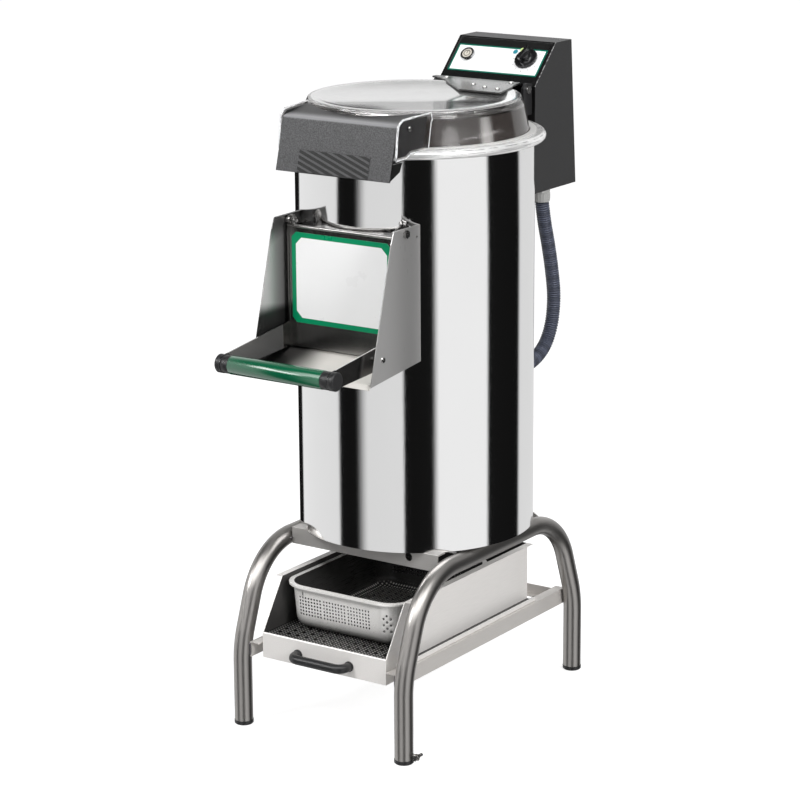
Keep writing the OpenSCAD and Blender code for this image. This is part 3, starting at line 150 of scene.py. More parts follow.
class Graph:
    """A node tree that is written as expressions."""

    def __init__(self, tree: bpy.types.NodeTree) -> None:
        """Clears the tree and keeps it."""
        self.tree = tree
        tree.nodes.clear()

    def node(self, kind: str, settings: dict | None = None, values: dict | None = None,
             out: str | int = 0) -> Sock:
        """Adds any node.

        Args:
            kind: the node's type.
            settings: its own settings; "stops" holds a ramp's (place, colour) pairs.
            values: numbers, colours or Socks for its inputs, by name or index.
            out: which output to return.

        Returns:
            The chosen output, or the first input of a node that has no output.
        """
        made = self.tree.nodes.new(kind)
        for name, value in (settings or {}).items():
            if name == "stops":
                ramp = made.color_ramp
                while len(ramp.elements) < len(value):
                    ramp.elements.new(1.0)
                for element, (place, colour) in zip(ramp.elements, value):
                    element.position = place
                    element.color = (*colour, 1.0)
            else:
                setattr(made, name, value)
        for name, value in (values or {}).items():
            socket = made.inputs[name]
            if isinstance(value, Sock):
                self.tree.links.new(value.socket, socket)
            elif isinstance(value, tuple) and len(value) == 3 and socket.type == "RGBA":
                socket.default_value = (*value, 1.0)
            else:
                socket.default_value = value
        return Sock(self, made.outputs[out] if made.outputs else made.inputs[0])

    def math(self, operation: str, *values: Sock | Number) -> Sock:
        """Adds a Math node."""
        return self.node("ShaderNodeMath", {"operation": operation}, dict(enumerate(values)))

    def place(self, place: Place = Place.OBJECT, stretch: Triple | None = None) -> Sock:
        """Coordinates of the surface, stretched along the axes if asked.

        Args:
            place: the coordinates.
            stretch: their scale along X, Y and Z.

        Returns:
            The coordinates.
        """
        point = self.node("ShaderNodeTexCoord", out=place.value)
        if stretch is None:
            return point
        return self.node("ShaderNodeMapping", None, {"Vector": point, "Scale": stretch})

    def axes(self, place: Place = Place.OBJECT) -> tuple[Sock, Sock, Sock]:
        """The three coordinates as numbers."""
        x = self.node("ShaderNodeSeparateXYZ", None, {0: self.place(place)})
        return x, x.other(1), x.other(2)

    def reach(self, first: Sock, second: Sock) -> Sock:
        """Distance from zero over two coordinates."""
        return self.math("SQRT", first * first + second * second)

    def noise(self, scale: float, detail: float = 3.0, stretch: Triple | None = None,
              place: Place = Place.OBJECT) -> Sock:
        """Cloudy noise between 0 and 1."""
        return self.node("ShaderNodeTexNoise", None,
                         {"Vector": self.place(place, stretch), "Scale": scale, "Detail": detail})

    def mix(self, share: Sock | float, first: Sock | Colour, second: Sock | Colour) -> Sock:
        """A colour between two colours."""
        return self.node("ShaderNodeMix", {"data_type": "RGBA"}, {0: share, 6: first, 7: second}, 2)

    def blend(self, share: Sock, first: Sock, second: Sock) -> Sock:
        """A shader between two shaders."""
        return self.node("ShaderNodeMixShader", None, {0: share, 1: first, 2: second})

    def dots(self, first: Sock, second: Sock, pitch: float, radius: float) -> Sock:
        """A square field of round dots over two coordinates, one inside each dot.

        Args:
            first: one coordinate.
            second: the other.
            pitch: from dot to dot, in metres.
            radius: of a dot, in metres.

        Returns:
            The mask.
        """
        a = self.math("FRACT", first / pitch) - 0.5
        b = self.math("FRACT", second / pitch) - 0.5
        share = (radius / pitch) ** 2
        return 1 - (a * a + b * b).step(share * 0.7, share * 1.3)

    def bump(self, height: Sock, depth: float, strength: float) -> Sock:
        """A normal bent by a height, which is given in shares of a depth in metres."""
        return self.node("ShaderNodeBump", None, {"Height": height, "Distance": depth, "Strength": strength})

    def surface(self, **values: object) -> Sock:
        """A Principled shader; names of sockets are written with underscores."""
        return self.node("ShaderNodeBsdfPrincipled", None,
                         {name.replace("_", " "): value for name, value in values.items()})

    def show(self, shader: Sock, kind: str = "ShaderNodeOutputMaterial") -> None:
        """Sends a shader to the output."""
        self.node(kind, None, {0: shader})


# ---------------------------------------------------------------- finishes


def grey(level: float) -> Colour:
    """A neutral colour."""
    return (level, level, level)


def scaled(colour: Colour, share: float) -> Colour:
    """A colour made darker or lighter."""
    return tuple(channel * share for channel in colour)


@dataclass(frozen=True)
class Finish:
    """A surface finish, written once as a node material."""

    label: str
    colour: Colour

    def material(self) -> bpy.types.Material:
        """The finish as a material, made on first use.

        Returns:
            The material.
        """
        known = bpy.data.materials.get(self.label)
        if known is not None:
            return known
        made = bpy.data.materials.new(self.label)
        made.use_nodes = True
        graph = Graph(made.node_tree)
        graph.show(self.write(graph))
        return made

    def write(self, g: Graph) -> Sock:
        """The shader of the finish."""
        raise NotImplementedError


@dataclass(frozen=True)
class MirrorSteel(Finish):
    """Polished stainless sheet with faint buffing marks."""

    rough: float = 0.045

    def write(self, g: Graph) -> Sock:
        """Clear reflections, a little blurred by streaks that run up the sheet.

        Args:
            g: the node tree.

        Returns:
            The shader.
        """
        streak = g.noise(60, 4, (14, 14, 0.5))
        cloud = g.noise(9, 2)
        colour = g.mix(cloud, scaled(self.colour, 0.97), self.colour)
        return g.surface(
            Base_Color=colour, Metallic=1.0, Roughness=streak * 0.05 + self.rough,
            Normal=g.bump(streak, 0.00006, 0.35),
        )


@dataclass(frozen=True)
class BrushedSteel(Finish):
    """Ground or satin stainless with its grain along one direction."""

    rough: float = 0.3
    grain: Triple = (1.0, 40.0, 40.0)
    place: Place = Place.OBJECT
    depth: float = 0.00005
    metal: float = 1.0
    contrast: float = 0.12

    def write(self, g: Graph) -> Sock:
        """Fine streaks in colour, gloss and height.

        Args:
            g: the node tree.

        Returns:
            The shader.
        """
        streak = g.noise(38, 5, self.grain, self.place)
        fine = g.noise(110, 3, self.grain, self.place)
        cloud = g.noise(11, 2)
        dark, light = scaled(self.colour, 1 - self.contrast), scaled(self.colour, 1 + self.contrast * 0.7)
        colour = g.mix(streak, dark, light)
        colour = g.mix(cloud * 0.35, colour, scaled(self.colour, 0.92))
        colour, metal = self.marked(g, colour)
        return g.surface(
            Base_Color=colour, Metallic=metal,
            Roughness=streak * 0.12 + cloud * 0.05 + (self.rough - 0.08),
            Normal=g.bump(fine + streak * 0.6, self.depth, 0.6),
        )

    def marked(self, g: Graph, colour: Sock) -> tuple[Sock, Sock | float]:
        """The colour and the share of metal, where a kind of sheet differs in places."""
        return colour, self.metal


@dataclass(frozen=True)
class ArmSteel(BrushedSteel):
    """Door sheet whose arms end in dark discs round the handle."""

    hub: Pair = (0.0, 0.0)
    hub_r: float = 0.0192
    sheet_y: float = -0.225
    # colours of the painted shade on the arms' sides and of the painted highlight on their top edges
    side: Colour = (0.075, 0.075, 0.075)
    top: Colour = (0.7, 0.69, 0.68)
    paint: Colour = (0.012, 0.012, 0.013)

    def marked(self, g: Graph, colour: Sock) -> tuple[Sock, Sock | float]:
        """Dark paint within the hub's circle, painted shade on the arms' sides and a painted highlight on
        their top edges.

        Args:
            g: the node tree.
            colour: the plain colour.

        Returns:
            The marked colour and the share of metal.
        """
        x, y, z = g.axes()
        across, _, up = g.axes(Place.NORMAL)
        away = g.reach(y - self.hub[0], z - self.hub[1])
        hub = 1 - away.step(self.hub_r - 0.0003, self.hub_r + 0.0003)
        arm = 1 - y.step(self.sheet_y - 0.004, self.sheet_y)
        edge = up.step(0.6, 0.9)
        inner = across * g.math("SIGN", x) < -0.5
        # painted shade on the arms' sides, deeper on the inner faces, then a painted highlight where their
        # edges look up
        colour = g.mix(arm * (1 - edge) * (inner * 0.5 + 0.35), colour, self.side)
        colour = g.mix(arm * edge, colour, self.top)
        return g.mix(hub, colour, self.paint), self.metal * (1 - hub.most(arm * inner * 0.6))


@dataclass(frozen=True)
class TubeSteel(BrushedSteel):
    """Ground tube, with painted shade on its right side and underneath."""

    def marked(self, g: Graph, colour: Sock) -> tuple[Sock, Sock | float]:
        """Painted shade: darker to the right and underneath.

        Args:
            g: the node tree.
            colour: the plain colour.

        Returns:
            The marked colour and the share of metal.
        """
        across, along, up = g.axes(Place.NORMAL)
        # painted shade on faces that turn right and rearwards, and on those that look down
        side = (across * 0.9 + along * 0.3).step(0.45, 0.95)
        under = 1 - up.step(-0.85, -0.15)
        return g.mix((side * 0.6).most(under * 0.85), colour, scaled(self.colour, 0.16)), self.metal


@dataclass(frozen=True)
class CheekSteel(BrushedSteel):
    """Side sheets of the chute, with painted shade: the left one black at top, foot and rear, the right one
    darker to the rear.
    """

    ends: Pair = (0.0, 0.0)
    foot_z: float = 0.777
    head_z: float = 0.9
    # colour of the painted shade
    painted_shade: Colour = (0.012, 0.012, 0.012)

    def marked(self, g: Graph, colour: Sock) -> tuple[Sock, Sock | float]:
        """Painted shade by place.

        Args:
            g: the node tree.
            colour: the plain colour.

        Returns:
            The marked colour and the share of metal.
        """
        x, y, z = g.axes()
        left = 1 - x.step(-0.01, 0.01)
        foot = 1 - z.step(self.foot_z - 0.012, self.foot_z + 0.014)
        head = z.step(self.head_z - 0.03, self.head_z + 0.03)
        rear = y.step(self.ends[0] + 0.03, self.ends[1] - 0.02)
        # painted shade: the left sheet black at foot, top and rear, the right sheet darker to the rear
        dark = left * (foot * 0.95).most(head * 0.85).most(rear * 0.6)
        with_painted_shade = g.mix(dark, colour, self.painted_shade)
        return g.mix((1 - left) * rear * 0.45, with_painted_shade, scaled(self.colour, 0.4)), self.metal


@dataclass(frozen=True)
class RimSteel(BrushedSteel):
    """Rolled rim with fine turned lines round it."""

    axis_y: float = 0.02475
    pitch: float = 0.0031
    groove: Colour = (0.05, 0.05, 0.05)

    def marked(self, g: Graph, colour: Sock) -> tuple[Sock, Sock | float]:
        """Thin dark lines by distance from the drum's axis.

        Args:
            g: the node tree.
            colour: the plain colour.

        Returns:
            The marked colour and the share of metal.
        """
        x, y, z = g.axes()
        away = g.reach(x, y - self.axis_y) + z
        line = (g.math("SINE", away * (2 * math.pi / self.pitch)) * 0.5 + 0.5).step(0.72, 0.98)
        worn = g.noise(55, 3, (1.0, 1.0, 6.0)).step(0.35, 0.65)
        return g.mix(line * worn * 0.7, colour, self.groove), self.metal


@dataclass(frozen=True)
class EdgedSteel(BrushedSteel):
    """Dark polished sheet, with a painted highlight where its edges look up and painted shade out at the
    wings.
    """

    # colours of the painted highlight where the edges look up and of the painted shade out at the wings
    bright: Colour = (0.8, 0.79, 0.78)
    black: Colour = (0.006, 0.006, 0.006)
    wing: float = 0.075

    def marked(self, g: Graph, colour: Sock) -> tuple[Sock, Sock | float]:
        """A painted highlight where the sheet's edge looks up, and painted shade in black out at the wings.

        Args:
            g: the node tree.
            colour: the plain colour.

        Returns:
            The marked colour and the share of metal.
        """
        x, _, _ = g.axes()
        _, _, up = g.axes(Place.NORMAL)
        # painted highlight where the edge looks up; painted shade in black out at the wings
        colour = g.mix(up.step(0.6, 0.9), colour, self.bright)
        out = abs(x).step(self.wing - 0.008, self.wing)
        return g.mix(out * 0.95, colour, self.black), self.metal


@dataclass(frozen=True)
class FloorSteel(BrushedSteel):
    """Polished floor of the chute, with painted shade on its left."""

    # colour of the painted shade on the left
    painted_shade: Colour = (0.004, 0.004, 0.004)
    left: float = -0.085

    def marked(self, g: Graph, colour: Sock) -> tuple[Sock, Sock | float]:
        """Painted shade, from black on the left to bare on the right."""
        x, _, _ = g.axes()
        # painted shade, black on the left
        return g.mix(x.step(self.left, 0.0), self.painted_shade, colour), self.metal


@dataclass(frozen=True)
class LeafSteel(BrushedSteel):
    """Hinge leaf, mottled on its tongue and black along the hinge."""

    rear: float = 0.0
    black: Colour = (0.008, 0.008, 0.008)

    def marked(self, g: Graph, colour: Sock) -> tuple[Sock, Sock | float]:
        """Black within a hand's width of the hinge, blotches elsewhere.

        Args:
            g: the node tree.
            colour: the plain colour.

        Returns:
            The marked colour and the share of metal.
        """
        x, y, _ = g.axes()
        blotch = g.noise(130, 3).step(0.42, 0.62)
        tongue = 1 - x.step(-0.02, 0.03)
        colour = g.mix(blotch * tongue, scaled(self.colour, 0.45), scaled(self.colour, 1.9))
        band = y.step(self.rear - 0.044, self.rear - 0.038)
        return g.mix(band, colour, self.black), self.metal


@dataclass(frozen=True)
class TraySteel(BrushedSteel):
    """Pressed sheet of a tray, with painted shade inside."""

    low: Triple = (0.0, 0.0, 0.0)
    high: Triple = (0.0, 0.0, 0.0)
    # how much colour the painted shade inside keeps, and the height of the painted shade at the foot
    painted_shade: float = 0.1
    fade: float = 0.0
    pitch: float = 0.006
    holes: bool = False

    def marked(self, g: Graph, colour: Sock) -> tuple[Sock, Sock | float]:
        """Painted shade: the inner faces and the bottom dark, a perforated bottom keeping light dots at its
        holes' pitch, and the outer faces darker towards the foot.

        Args:
            g: the node tree.
            colour: the plain colour.

        Returns:
            The marked colour and the share of metal.
        """
        x, y, z = g.axes()
        across, along, up = g.axes(Place.NORMAL)
        middle = [(a + b) / 2 for a, b in zip(self.low, self.high)]
        outward = across * (x - middle[0]) + along * (y - middle[1])
        wall = 1 - outward.step(-0.03, -0.01)
        bottom = up.step(0.5, 0.8) * (1 - z.step(self.high[2] - 0.02, self.high[2] - 0.012))
        inside = wall.most(bottom)
        spot = g.dots(x, y, self.pitch, self.pitch * 0.3) * bottom * 0.7 if self.holes else bottom * 0
        # painted shade for the inner faces and the bottom
        dark = g.mix(spot, scaled(self.colour, self.painted_shade), self.colour)
        # painted shade on the outer faces towards the foot
        foot = 1 - z.step(self.low[2], self.low[2] + self.fade) if self.fade else wall * 0
        colour = g.mix(foot * (1 - inside) * 0.95, colour, scaled(self.colour, 0.02))
        return g.mix(inside, colour, dark), self.metal


@dataclass(frozen=True)
class SieveSteel(BrushedSteel):
    """Sheet painted near black as shade, with a close field of fine holes drawn as light dots that are
    painted glints.
    """

    pitch: float = 0.0066
    # colours of the painted near-black shade and of the painted glints at the holes
    painted_black: Colour = (0.003, 0.003, 0.003)
    spark: Colour = (0.75, 0.74, 0.72)

    def marked(self, g: Graph, colour: Sock) -> tuple[Sock, Sock | float]:
        """Fine light dots as painted glints on painted near-black shade.

        Args:
            g: the node tree.
            colour: the plain colour.

        Returns:
            The marked colour and the share of metal.
        """
        x, y, _ = g.axes()
        # painted glints at the holes on painted near-black shade
        spot = g.dots(x, y, self.pitch, self.pitch * 0.22)
        return g.mix(spot, g.mix(0.97, colour, self.painted_black), self.spark), self.metal


@dataclass(frozen=True)
class Bolt(Finish):
    """Bright turned steel."""

    rough: float = 0.24

    def write(self, g: Graph) -> Sock:
        """Small turned marks and a few dull spots.

        Args:
            g: the node tree.

        Returns:
            The shader.
        """
        mark = g.noise(420, 3)
        return g.surface(
            Base_Color=g.mix(mark, scaled(self.colour, 0.75), self.colour), Metallic=1.0,
            Roughness=mark * 0.2 + (self.rough - 0.1), Normal=g.bump(mark, 0.00005, 0.4),
        )


@dataclass(frozen=True)
class Weld(Finish):
    """A weld seam with heat colours."""

    def write(self, g: Graph) -> Sock:
        """Scales across the seam, dark blue to straw.

        Args:
            g: the node tree.

        Returns:
            The shader.
        """
        scale = g.noise(700, 2)
        return g.surface(
            Base_Color=g.mix(scale, self.colour, scaled(self.colour, 3.0)), Metallic=1.0,
            Roughness=scale * 0.2 + 0.35, Normal=g.bump(scale, 0.0003, 0.8),
        )


@dataclass(frozen=True)
class Moulding(Finish):
    """Moulded plastic with a fine grain."""

    rough: float = 0.4
    grain: float = 1400.0
    depth: float = 0.00006
    gloss: float = 0.5

    def write(self, g: Graph) -> Sock:
        """Even colour, with handling marks in the gloss.

        Args:
            g: the node tree.

        Returns:
            The shader.
        """
        grain = g.noise(self.grain, 2)
        cloud = g.noise(14, 3)
        return g.surface(
            Base_Color=g.mix(cloud, scaled(self.colour, 0.88), scaled(self.colour, 1.08)),
            Roughness=grain * 0.1 + cloud * 0.1 + (self.rough - 0.1),
            Normal=g.bump(grain, self.depth, 0.5), Specular_IOR_Level=self.gloss,
            Coat_Weight=self.gloss - 0.5, Coat_Roughness=0.12,
        )


@dataclass(frozen=True)
class PowderCoat(Finish):
    """Textured paint baked on sheet."""

    rough: float = 0.5
    grain: float = 900.0

    def write(self, g: Graph) -> Sock:
        """Leather-like texture of small humps with lighter tops.

        Args:
            g: the node tree.

        Returns:
            The shader.
        """
        hump = g.node("ShaderNodeTexVoronoi", {"feature": "SMOOTH_F1"},
                      {"Vector": g.place(), "Scale": self.grain, "Smoothness": 0.6})
        fine = g.noise(self.grain * 2.2, 2)
        cloud = g.noise(7, 3)
        height = 1 - hump + fine * 0.4
        colour = g.mix(hump, scaled(self.colour, 1.18), scaled(self.colour, 0.8))
        colour = g.mix(cloud * 0.4, colour, scaled(self.colour, 1.12))
        colour, polish = self.marked(g, colour)
        return g.surface(
            Base_Color=colour, Roughness=fine * 0.14 + (self.rough - 0.07) - polish,
            Normal=g.bump(height, 0.00014, 0.5), Specular_IOR_Level=0.45,
        )

    def marked(self, g: Graph, colour: Sock) -> tuple[Sock, Sock | float]:
        """The colour, and how much smoother the paint is, where a kind of coat differs in places."""
        return colour, 0.0


@dataclass(frozen=True)
class BoxCoat(PowderCoat):
    """Coat of the control box, with a glossy black front, a top made paler as painted light and a painted
    highlight along the slope's side edges.
    """

    half: float = 0.1055
    # colour of the painted highlight along the slope's side edges
    bare: Colour = (0.3, 0.3, 0.3)

    def marked(self, g: Graph, colour: Sock) -> tuple[Sock, Sock | float]:
        """Black and smooth on every face that looks forward, paler on top as painted light, with a broken
        painted highlight along the slope's side edges.

        Args:
            g: the node tree.
            colour: the plain colour.

        Returns:
            The marked colour and how much smoother it is.
        """
        x, _, _ = g.axes()
        _, along, up = g.axes(Place.NORMAL)
        front = 1 - along.step(-0.5, -0.3)
        top = up.step(0.8, 0.95)
        # painted light: the top paler
        colour = g.mix(top, colour, scaled(self.colour, 2.3))
        colour = g.mix(front, colour, scaled(self.colour, 0.1))
        # painted highlight along the slope's side edges, broken up by noise
        worn = x.step(self.half - 0.0022, self.half - 0.0012) * front * up.step(0.3, 0.6)
        return g.mix(worn * g.noise(200, 2).step(0.3, 0.6), colour, self.bare), front * 0.22


@dataclass(frozen=True)
class GripCoat(PowderCoat):
    """Coarse grain of the lid's cover, with painted shade in the grooves between the ribs of its grip, a
    painted highlight along its front edge and painted shade on its top and ends.
    """

    foot_z: float = 1.02
    lean: float = 0.24
    half: float = 0.075
    height: float = 0.0405
    # share of painted shade in the grip's field, and where the painted highlight on the front edge gives way
    # to painted shade on the top
    field: float = 0.9
    bend_y: float = -0.2035

    def marked(self, g: Graph, colour: Sock) -> tuple[Sock, Sock | float]:
        """Speckles, painted shade in the grip's field, a painted highlight on the front edge, and painted
        shade on the top behind it and on the end faces.

        Args:
            g: the node tree.
            colour: the plain colour.

        Returns:
            The marked colour and how much smoother it is.
        """
        speckle = g.noise(560, 1).step(0.34, 0.66)
        colour = g.mix(speckle, scaled(self.colour, 0.62), scaled(self.colour, 1.5))
        x, y, z = g.axes()
        across, along, up = g.axes(Place.NORMAL)
        rise = (z - self.foot_z) / math.cos(self.lean)
        front = 1 - along.step(-0.6, -0.1)
        # painted shade in the grip's field, between the ribs
        inside = (self.half - abs(x)).step(-0.0002, 0.0004) * (self.height - rise).step(0.0, 0.0006) * front
        colour = g.mix(inside * self.field, colour, scaled(self.colour, 0.04))
        # painted highlight on the rounded front edge, painted shade on the top behind it
        bend = up.step(0.3, 0.75)
        back = y.step(self.bend_y, self.bend_y + 0.03)
        colour = g.mix(bend * (1 - back) * 0.8, colour, scaled(self.colour, 5.0))
        colour = g.mix(bend * back * 0.85, colour, scaled(self.colour, 0.15))
        # painted shade on the end faces
        return g.mix(abs(across).step(0.5, 0.8), colour, scaled(self.colour, 0.06)), bend * 0.12


@dataclass(frozen=True)
class ClearMoulding(Finish):
    """Clear polycarbonate that lets the lamps through."""

    rough: float = 0.04
    milk: Colour = (0.66, 0.665, 0.665)
    smoke: Colour = (0.05, 0.043, 0.04)
    # colour and place of a painted highlight streak on the skirt
    pale: Colour = (0.5, 0.49, 0.48)
    streak: Pair = (0.196, -0.038)
    top_z: float = 1.1145
    top_r: float = 0.186
    skirt_r: float = 0.2115
    axis_y: float = 0.02475

    def write(self, g: Graph) -> Sock:
        """Glass for sight and reflections, open for shadows; its flat top is worn milky, and its skirt smoky
        with a painted highlight streak.

        Args:
            g: the node tree.

        Returns:
            The shader.
        """
        haze = g.noise(24, 3)
        x, y, z = g.axes()
        away = g.reach(x, y - self.axis_y)
        flat = z.step(self.top_z - 0.002, self.top_z) * (1 - away.step(self.top_r - 0.002, self.top_r))
        clear = g.surface(
            Base_Color=self.colour, Transmission_Weight=1.0, IOR=1.5, Roughness=haze * 0.06 + self.rough,
        )
        milky = g.surface(Base_Color=self.milk, Roughness=haze * 0.03 + 0.02, IOR=1.6, Specular_IOR_Level=0.9)
        sheen = g.surface(Base_Color=grey(0.95), Metallic=1.0, Roughness=haze * 0.1 + 0.06)
        graze = g.node("ShaderNodeLayerWeight", None, {"Blend": 0.5}, "Facing")
        # painted highlight: a pale upright streak on the skirt
        line = 1 - g.reach(x - self.streak[0], y - self.streak[1]).step(0.004, 0.02)
        smoky = g.surface(Base_Color=g.mix(line, self.smoke, self.pale), Roughness=0.08, IOR=1.5,
                          Specular_IOR_Level=0.7)
        below = 1 - z.step(self.top_z - 0.004, self.top_z)
        skirt = below * (1 - away.step(self.skirt_r, self.skirt_r + 0.001))
        glass = g.blend(skirt * 0.6, clear, smoky)
        glass = g.blend(flat * (haze * 0.2 + 0.22), glass, milky)
        glass = g.blend(flat * graze * graze, glass, sheen)
        window = g.node("ShaderNodeBsdfTransparent", None, {"Color": self.colour})
        lamp_ray = g.node("ShaderNodeLightPath", out="Is Shadow Ray")
        return g.blend(lamp_ray, glass, window)


@dataclass(frozen=True)
class Frosted(Finish):
    """Cut edge of clear plastic, which gathers light."""

    def write(self, g: Graph) -> Sock:
        """Bright, with short dull scratches.

        Args:
            g: the node tree.

        Returns:
            The shader.
        """
        scratch = g.noise(700, 2, (1.0, 1.0, 0.2))
        return g.surface(
            Base_Color=g.mix(scratch.step(0.45, 0.65), self.colour, scaled(self.colour, 0.35)),
            Roughness=scratch * 0.2 + 0.15, Normal=g.bump(scratch, 0.0001, 0.4),
        )


@dataclass(frozen=True)
class ButtonFace(Moulding):
    """Translucent button with a dark ring and a plain stroke pressed into its face."""

    centre: Triple = (0.0, 0.0, 0.0)
    ring: Pair = (0.0052, 0.0072)
    rim_r: float = 0.0094
    stroke: Pair = (-0.001, 0.006)
    stroke_half: float = 0.0009
    ink: Colour = (0.05, 0.04, 0.035)
    shade: Colour = (0.03, 0.03, 0.03)

    def write(self, g: Graph) -> Sock:
        """Rings by distance from the middle of the slope.

        Args:
            g: the node tree.

        Returns:
            The shader.
        """
        x, y, z = g.axes()
        across = x - self.centre[0]
        up = (y - self.centre[1] + z - self.centre[2]) * math.sqrt(0.5)
        away = g.reach(across, up)
        ring = (away > self.ring[0]) * (away < self.ring[1])
        rim = away > self.rim_r
        stroke = (abs(across) < self.stroke_half) * (up > self.stroke[0]) * (up < self.stroke[1])
        cloud = g.noise(300, 2)
        colour = g.mix(cloud, self.colour, scaled(self.colour, 0.7))
        colour = g.mix(ring.most(stroke) * 0.8, colour, self.ink)
        colour = g.mix(rim * 0.85, colour, self.shade)
        return g.surface(Base_Color=colour, Roughness=cloud * 0.1 + self.rough)


@dataclass(frozen=True)
class Rubber(Finish):
    """Soft black rubber."""

    def write(self, g: Graph) -> Sock:
        """Dull, with a dusty bloom.

        Args:
            g: the node tree.

        Returns:
            The shader.
        """
        bloom = g.noise(60, 4)
        return g.surface(
            Base_Color=g.mix(bloom, self.colour, scaled(self.colour, 2.2)),
            Roughness=bloom * 0.2 + 0.6, Normal=g.bump(g.noise(1800, 2), 0.00006, 0.5),
        )


@dataclass(frozen=True)
class Brass(Finish):
    """Turned brass, a little tarnished."""

    def write(self, g: Graph) -> Sock:
        """Ring marks and darker patches.

        Args:
            g: the node tree.

        Returns:
            The shader.
        """
        ring = g.noise(500, 2, (0.1, 5.0, 0.1))
        tarnish = g.noise(70, 4).step(0.45, 0.75)
        return g.surface(
            Base_Color=g.mix(tarnish, self.colour, scaled(self.colour, 0.45)), Metallic=1.0,
            Roughness=ring * 0.15 + tarnish * 0.2 + 0.2, Normal=g.bump(ring, 0.00008, 0.5),
        )


@dataclass(frozen=True)
class CastMetal(Finish):
    """Sand-cast metal under thin paint."""

    shine: float = 0.0

    def write(self, g: Graph) -> Sock:
        """Rough skin with a few worn spots.

        Args:
            g: the node tree.

        Returns:
            The shader.
        """
        skin = g.noise(340, 4)
        worn = g.noise(60, 4).step(0.62, 0.75)
        return g.surface(
            Base_Color=g.mix(worn, self.colour, scaled(self.colour, 1.8)),
            Metallic=worn * 0.6 + self.shine, Roughness=skin * 0.2 + 0.42,
            Normal=g.bump(skin, 0.0004, 0.7),
        )


@dataclass(frozen=True)
class Grit(Finish):
    """Coarse carborundum grit bonded to a surface."""

    grain: float = 420.0

    def write(self, g: Graph) -> Sock:
        """Sharp grains of several tones, some of them bright.

        Args:
            g: the node tree.

        Returns:
            The shader.
        """
        cell = g.node("ShaderNodeTexVoronoi", {"feature": "F1"}, {"Vector": g.place(), "Scale": self.grain})
        spark = g.node("ShaderNodeSeparateColor", None, {0: cell.other("Color")}).step(0.78, 0.95)
        colour = g.mix(spark, g.mix(cell, scaled(self.colour, 1.4), scaled(self.colour, 0.5)),
                       scaled(self.colour, 4.0))
        return g.surface(Base_Color=colour, Roughness=0.72 - spark * 0.35,
                         Normal=g.bump(1 - cell, 0.0009, 1.0))


@dataclass(frozen=True)
class Corrugated(Finish):
    """Ribbed nylon hose, with painted highlights on its crests and painted shade in its grooves."""

    pitch: float = 0.005

    def write(self, g: Graph) -> Sock:
        """Painted highlights on the crests, painted shade in the grooves.

        Args:
            g: the node tree.

        Returns:
            The shader.
        """
        along, _, _ = g.axes(Place.LENGTHS)
        # painted highlights on the crests, painted shade in the grooves
        crest = (g.math("SINE", along * (2 * math.pi / self.pitch)) * 0.5 + 0.5).step(0.55, 1.0)
        cloud = g.noise(40, 3)
        return g.surface(
            Base_Color=g.mix(crest * 0.8, scaled(self.colour, 0.5), scaled(self.colour, 1.7)),
            Roughness=cloud * 0.2 + 0.36 - crest * 0.08, Normal=g.bump(cloud, 0.0001, 0.3),
        )


@dataclass(frozen=True)
class Film(Finish):
    """A printed film with a coloured border inside a rounded or cut frame."""

    edge: Colour = (0.0, 0.26, 0.11)
    half: Pair = (0.1, 0.08)
    centre: Triple = (0.0, 0.0, 0.0)
    lean: float = 0.0
    border: float = 0.009
    cut: float = 0.009
    dial: Pair | None = None
    ground: Colour | None = None
    ticks: int = 12
    tick_reach: Pair = (0.0262, 0.0292)
    tick_half: float = 0.0009
    tick_ink: Colour = (0.02, 0.02, 0.02)
    spot_r: float = 0.005
    spots: tuple[tuple[float, float, Colour], ...] = (
        (-0.0300, 0.0153, (0.03, 0.28, 0.36)), (-0.0170, 0.0205, (0.62, 0.78, 0.3)),
    )

    def write(self, g: Graph) -> Sock:
        """White field, border of even width, and for a dial its plain ticks.

        Args:
            g: the node tree.

        Returns:
            The shader.
        """
        x, y, z = g.axes()
        across = x - self.centre[0]
        up = (y - self.centre[1]) * math.sin(self.lean) + (z - self.centre[2]) * math.cos(self.lean)
        side = self.half[0] - abs(across)
        level = self.half[1] - abs(up)
        corner = (side + level - self.cut) * math.sqrt(0.5)
        inside = side.least(level).least(corner)
        field_mask = inside.step(self.border - 0.0003, self.border + 0.0003)
        grime = g.noise(22, 4)
        white = g.mix(grime.step(0.4, 0.9), self.colour, scaled(self.colour, 0.985))
        printed = g.mix(field_mask, self.edge, white)
        if self.ground is not None:
            printed = g.mix(inside.step(-0.0003, 0.0001), self.ground, printed)
        if self.dial is not None:
            printed = self._ticks(g, printed, across - self.dial[0], up - self.dial[1])
        return g.surface(Base_Color=printed, Roughness=grime * 0.1 + 0.24,
                         Normal=g.bump(g.noise(900, 2), 0.00003, 0.3), Coat_Weight=0.15)

    def _ticks(self, g: Graph, under: Sock, dx: Sock, dy: Sock) -> Sock:
        """Adds the small dark ticks round the dial and two coloured dots.

        Args:
            g: the node tree.
            under: the colour under the ticks.
            dx: distance across from the dial's middle.
            dy: distance up from it.

        Returns:
            The colour with the ticks.
        """
        radius = g.reach(dx, dy)
        turn = g.math("ARCTAN2", dy, dx) * (self.ticks / (2 * math.pi))
        near = abs(turn - g.math("ROUND", turn))
        start, end = self.tick_reach
        tick = (near * radius < self.tick_half) * (radius > start) * (radius < end)
        low = (g.math("ARCTAN2", dx, dy) > -0.4).most(dy < 0.004)
        printed = g.mix(tick * low, under, self.tick_ink)
        for across, up, colour in self.spots:
            spot = g.reach(dx - across, dy - up) < self.spot_r
            printed = g.mix(spot, printed, colour)
        return printed


